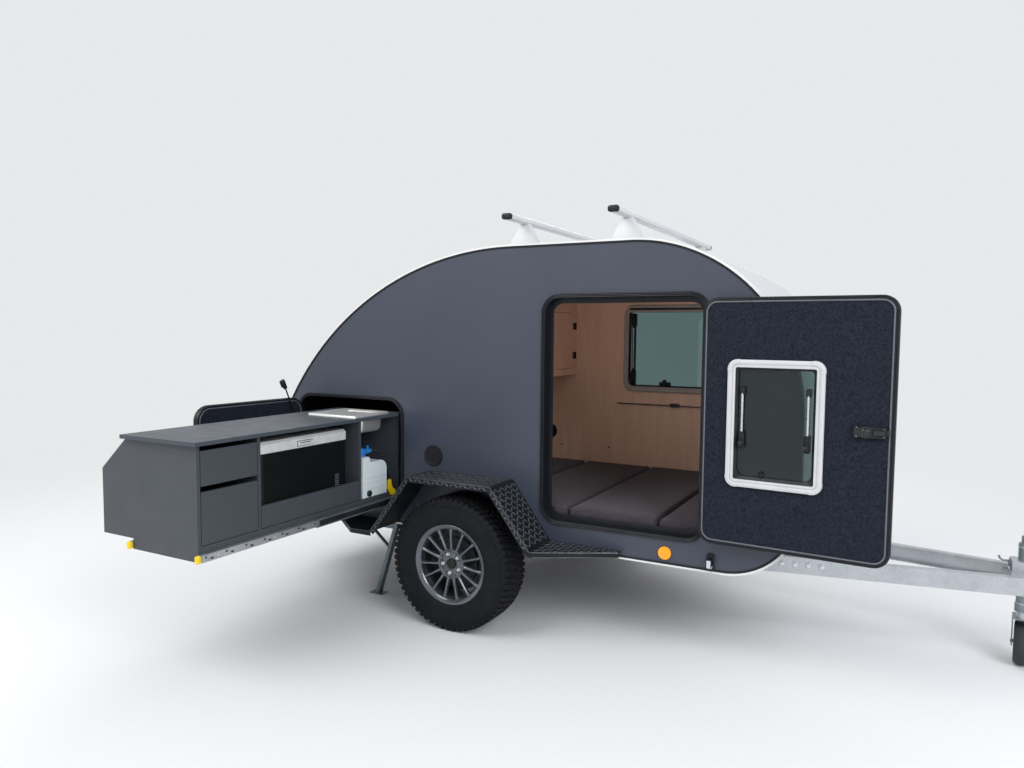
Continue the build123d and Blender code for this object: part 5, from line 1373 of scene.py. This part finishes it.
def make_cushions():
    """Four cushions, blown up a little by cloth simulation and held inside their places."""
    low_z, high_z = CUSHION_Z
    for number, (x0, x1) in enumerate(zip(CUSHION_SEAMS, CUSHION_SEAMS[1:])):
        nose = x1 == CUSHION_SEAMS[-1]
        low_x1 = NOSE_LOW_X if nose else x1
        high_x1 = NOSE_HIGH_X if nose else x1
        profile = [(x0 + CUSHION_ROOM, low_z + 1), (low_x1 - CUSHION_ROOM, low_z + 1),
                   (high_x1 - CUSHION_ROOM, high_z - 5), (x0 + CUSHION_ROOM, high_z - 5)]
        ends = (CUSHION_Y[0] + CUSHION_ROOM, CUSHION_Y[1] - CUSHION_ROOM)
        name = "cushion_%d" % (number + 1)
        mesh = mesh_of(name, Shape().skin([[spot(x, y, z) for x, z in profile] for y in ends]))
        mesh.materials.append(FINISHES["mattress_cover"])
        cushion = link(name, mesh)
        grid = cushion.modifiers.new("grid", "REMESH")
        grid.mode = "VOXEL"
        grid.voxel_size = CUSHION_VOXEL
        cushion.data = baked_mesh(cushion, grid)
        puff(cushion, (x0 + 1.5, x1 - 1.5))
        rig.ride(cushion, "trailer")
        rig.slot(cushion, "mattress_cover")
        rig.padded(cushion, fill=0.8)
        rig.replaces(cushion, "mattress")


def puff(piece, x_range):
    """Blow a piece up by cloth pressure, and hold each point near its start and inside its place."""
    start = [v.co.copy() for v in piece.data.vertices]
    moved = start
    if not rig.quick():
        cloth = piece.modifiers.new("puff", "CLOTH")
        for key, value in (("quality", 4), ("use_pressure", True), ("uniform_pressure_force", 4.0),
                           ("tension_stiffness", 12.0), ("compression_stiffness", 12.0)):
            setattr(cloth.settings, key, value)
        cloth.settings.effector_weights.gravity = 0.0
        cloth.collision_settings.use_collision = False
        for step in range(1, CLOTH_FRAMES + 1):
            bpy.context.scene.frame_set(step)
        graph = bpy.context.evaluated_depsgraph_get()
        blown = piece.evaluated_get(graph).to_mesh()
        moved = [v.co.copy() for v in blown.vertices]
        piece.evaluated_get(graph).to_mesh_clear()
        piece.modifiers.remove(cloth)
        bpy.context.scene.frame_set(1)
    low, high = [spot(x_range[i], CUSHION_Y[i], CUSHION_Z[i]) for i in (0, 1)]
    for vertex, before, after in zip(piece.data.vertices, start, moved):
        step = after - before
        if step.length > CLOTH_REACH * MM:
            step = step.normalized() * CLOTH_REACH * MM
        point = before + step
        vertex.co = Vector([min(max(point[i], low[i]), high[i]) for i in range(3)])
    fine = piece.modifiers.new("fine", "SUBSURF")
    fine.levels = 1
    fine.render_levels = 1
    piece.data = baked_mesh(piece, fine)
    piece.data.shade_smooth()


# How much the drawbar's beams close in towards the coupling, where they would be 50 mm off the middle,
# and how far the jockey wheel's fork is turned
BEAM_SLOPE = 0.1825
BEAM_END_X = 2923
JOCKEY_YAW = math.radians(-97.0)


def make_chassis_details():
    lean = math.atan(BEAM_SLOPE)
    bolt = Shape().lathe([(-1, 0), (-1, 12), (1.5, 12), (1.5, 9.5), (9, 9.5), (9, 6), (14, 6), (14, 0)],
                         ORIGIN, TO_KERB, 6)
    washer = Shape().lathe([(-1, 5), (-1, 14), (1.6, 14), (2.2, 12.8), (2.2, 5)], ORIGIN, TO_KERB, 24)
    bolts = []
    for side, spin in ((-1, lean), (1, math.pi + lean)):
        for i in range(4):
            x = 1497 + 58 * i
            y = side * (50 + BEAM_SLOPE * (BEAM_END_X - x))
            bolts.append((spot(x, y, 413 - 1.5 * (i % 2)), (0.0, 0.0, spin), FULL_SIZE))
    add_copies("drawbar_bolts", bolt, bolts, "bright_zinc", "trailer", "chassis_steel")
    add_copies("drawbar_washers", washer, bolts, "zinc", "trailer", "chassis_steel")

    clamp = Shape().blocks(spot, *[(2440, 2447, y - 8, y + 8, 452, 494, 2.0) for y in (-30.0, 30.0)])
    hook = ((2446, 490), (2430, 486), (2414, 486), (2402, 493), (2396, 506))
    clamp.tube([spot(x, 0, z) for x, z in hook], 5.0, 12)
    clamp.lathe([(0, 4), (0, 12), (10, 12), (12, 9), (12, 4)], spot(2446, 0, 474), (-1, 0, 0), 20)
    add_piece("jockey_clamp_lever", clamp, "zinc_dull", "trailer", "galvanised")
    y = 50 + BEAM_SLOPE * (BEAM_END_X - 2440) - 5
    inner_bolt = Shape().lathe([(0, 2), (0, 17), (3, 16), (3, 10), (11, 9), (11, 2)],
                               spot(2440, y, 404), TO_KERB, 24)
    add_piece("beam_round_bolt", inner_bolt, "zinc", "trailer", "galvanised")

    crank = Shape().lathe([(0, 3), (0, 13.4), (80, 13.4), (84, 10), (84, 3)], spot(2608, 0, 650), Z_AXIS, 20)
    add_piece("jockey_crank_grip", crank, "black_plastic", "jockey_tube", "jockey_rubber")
    bands = Shape()
    for z in (300, 470, 560):
        bands.lathe([(-4, 29), (-4, 31.6), (4, 31.6), (4, 29)], spot(2500, 0, z), Z_AXIS, 40)
    add_piece("jockey_tube_bands", bands, "zinc", "jockey_tube", "galvanised")
    low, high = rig.box("jockey_wheel")
    centre = Vector([(a + b) / 2 for a, b in zip(low, high)])
    axis = Vector((-math.sin(JOCKEY_YAW), math.cos(JOCKEY_YAW), 0.0))
    wheel = Shape().lathe([(-30, 62), (-30, 88), (-27, 95), (-20, 99), (0, 100), (20, 99), (27, 95), (30, 88),
                           (30, 62)], centre, axis, 64)
    tyre = add_piece("jockey_wheel_tyre", wheel, "jockey_rubber", "jockey_wheel", "jockey_rubber")
    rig.replaces(tyre, "jockey_wheel")
    disc = Shape().lathe([(-29, 8.6), (-29, 20), (-8, 24), (-6, 50), (-24, 58), (-28, 63), (28, 63), (24, 58),
                          (6, 50), (8, 24), (29, 20), (29, 8.6)], centre, axis, 48)
    add_piece("jockey_wheel_disc", disc, "lid_silver", "jockey_wheel", "galvanised")

    handle = Shape().blocks(spot, (2960, 3105, -13, 13, 474, 494, 5.0))
    handle.tube([spot(x, 0, z) for x, z in ((3010, 490), (2995, 512), (2960, 524), (2915, 524))], 9.0, 14)
    handle.blocks(spot, (2905, 2965, -14, 14, 514, 534, 6.0))
    add_piece("coupling_handle", handle, "cast_black", "trailer", "coupling_steel")
    plugs = Shape()
    for side in (-1, 1):
        for x, y in ((2945.0, 40), (2990.0, 28)):
            plugs.lathe([(-2, 0), (-2, 11), (7, 11), (9, 8), (9, 0)], spot(x, side * y, 424), (0, side, 0), 6)
    add_piece("coupling_bolts", plugs, "bright_zinc", "trailer", "coupling_steel")

    lamps = Shape()
    glass = Shape()
    low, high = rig.box("rear_lamps")
    back = (low[0] - AXLE_X) / MM
    z0, z1 = (low[2] - GROUND_Z) / MM, (high[2] - GROUND_Z) / MM
    for side in (-1, 1):
        inner, outer = side * 425.0, side * 640.0
        for bottom, top in ((z0 - 3, z0 + 2), (z1 - 2, z1 + 3)):
            lamps.blocks(spot, (back - 1, back + 30, inner - side * 3, outer + side * 3, bottom, top, 1.0))
        glass.blocks(spot, (back - 3.5, back, outer - side * 66, outer - side * 4, z0 + 5, z1 - 5, 2.5))
    add_piece("rear_lamp_frames", lamps, "black_plastic", "trailer", "lamp_red")
    add_piece("rear_lamp_indicators", glass, "amber", "trailer", "lamp_red")


make_body_details()
make_door_details()
make_hatch_details()
make_wheel("right", -1)
make_wheel("left", 1)
make_guard_pattern()
make_kitchen_details()
make_cabin_details()
make_cushions()
make_chassis_details()

# Floor, backdrop and light
HORIZON = (0.8, 0.81, 0.82, 1.0)
FLOOR_HALF = 90
FADE_START = 3.2
FADE_END = 6.5
pale, tree, floor_shader = new_material("studio_pale")
floor_shader["Roughness"].default_value = 0.9
floor_shader["Specular IOR Level"].default_value = 0.1
floor_at = tree.add("ShaderNodeTexCoord").outputs["Object"]
speckle = tree.noise(floor_at, 30.0, 4.0)
tree.join(tree.mix(speckle, (0.77, 0.77, 0.77, 1.0), (0.8, 0.8, 0.8, 1.0)), floor_shader["Base Color"])
away = tree.add("ShaderNodeVectorMath", operation="LENGTH")
tree.join(floor_at, away.inputs[0])
even = tree.add("ShaderNodeEmission")
even.inputs["Color"].default_value = HORIZON
nodes = pale.node_tree.nodes
fade = tree.choose_shader(tree.ramp(away.outputs["Value"], FADE_START, FADE_END),
                          nodes["Principled BSDF"].outputs[0], even.outputs[0])
tree.join(fade, nodes["Material Output"].inputs[0])
floor_mesh = bpy.data.meshes.new("studio_floor")
floor_corners = [(x * FLOOR_HALF, y * FLOOR_HALF, 0) for x, y in ((-1, -1), (1, -1), (1, 1), (-1, 1))]
floor_mesh.from_pydata(floor_corners, [], [(0, 1, 2, 3)])
floor = link("studio_floor", floor_mesh)
floor.location = (AXLE_X, 0.0, GROUND_Z)
floor_mesh.materials.append(pale)
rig.stage(floor)

world = bpy.data.worlds.new("studio")
world.use_nodes = True
bpy.context.scene.world = world
tree = Tree(world.node_tree)
background = world.node_tree.nodes["Background"]
white = tree.add("ShaderNodeBackground")
for node, tone, strength in ((background, (0.92, 0.95, 1.0, 1.0), 0.78), (white, HORIZON, 1.0)):
    node.inputs["Color"].default_value = tone
    node.inputs["Strength"].default_value = strength
ray = tree.add("ShaderNodeLightPath").outputs
seen = tree.math("MAXIMUM", ray["Is Camera Ray"],
                 tree.math("MAXIMUM", ray["Is Glossy Ray"], ray["Is Transmission Ray"]))
tree.join(tree.choose_shader(seen, background.outputs[0], white.outputs[0]),
          world.node_tree.nodes["World Output"].inputs[0])


def soft_light(name, where, target, size, power, tone=(1.0, 1.0, 1.0)):
    data = bpy.data.lights.new(name, "AREA")
    data.shape = "DISK"
    data.size = size
    data.energy = power
    data.color = tone
    lamp = link(name, data)
    lamp.location = where
    lamp.rotation_mode = "QUATERNION"
    lamp.rotation_quaternion = (Vector(target) - Vector(where)).to_track_quat("-Z", "Y")


centre = spot(400, 0, 900)
soft_light("key_light", spot(-2500, -5500, 6000), centre, 5.0, 245.0, (1.0, 0.98, 0.95))
soft_light("front_light", spot(6000, -4500, 4500), centre, 4.0, 300.0, (0.95, 0.98, 1.0))
soft_light("back_light", spot(-3000, 6500, 5500), centre, 5.0, 230.0)
soft_light("cabin_light", spot(760, -150, 1830), spot(640, 600, 700), 0.7, 1.6, (1.0, 0.97, 0.93))

final_low, final_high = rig.bounds()
with open("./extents.json", "w") as handle:
    json.dump({"cad": [list(cad_low), list(cad_high)], "visual": [list(final_low), list(final_high)]}, handle)
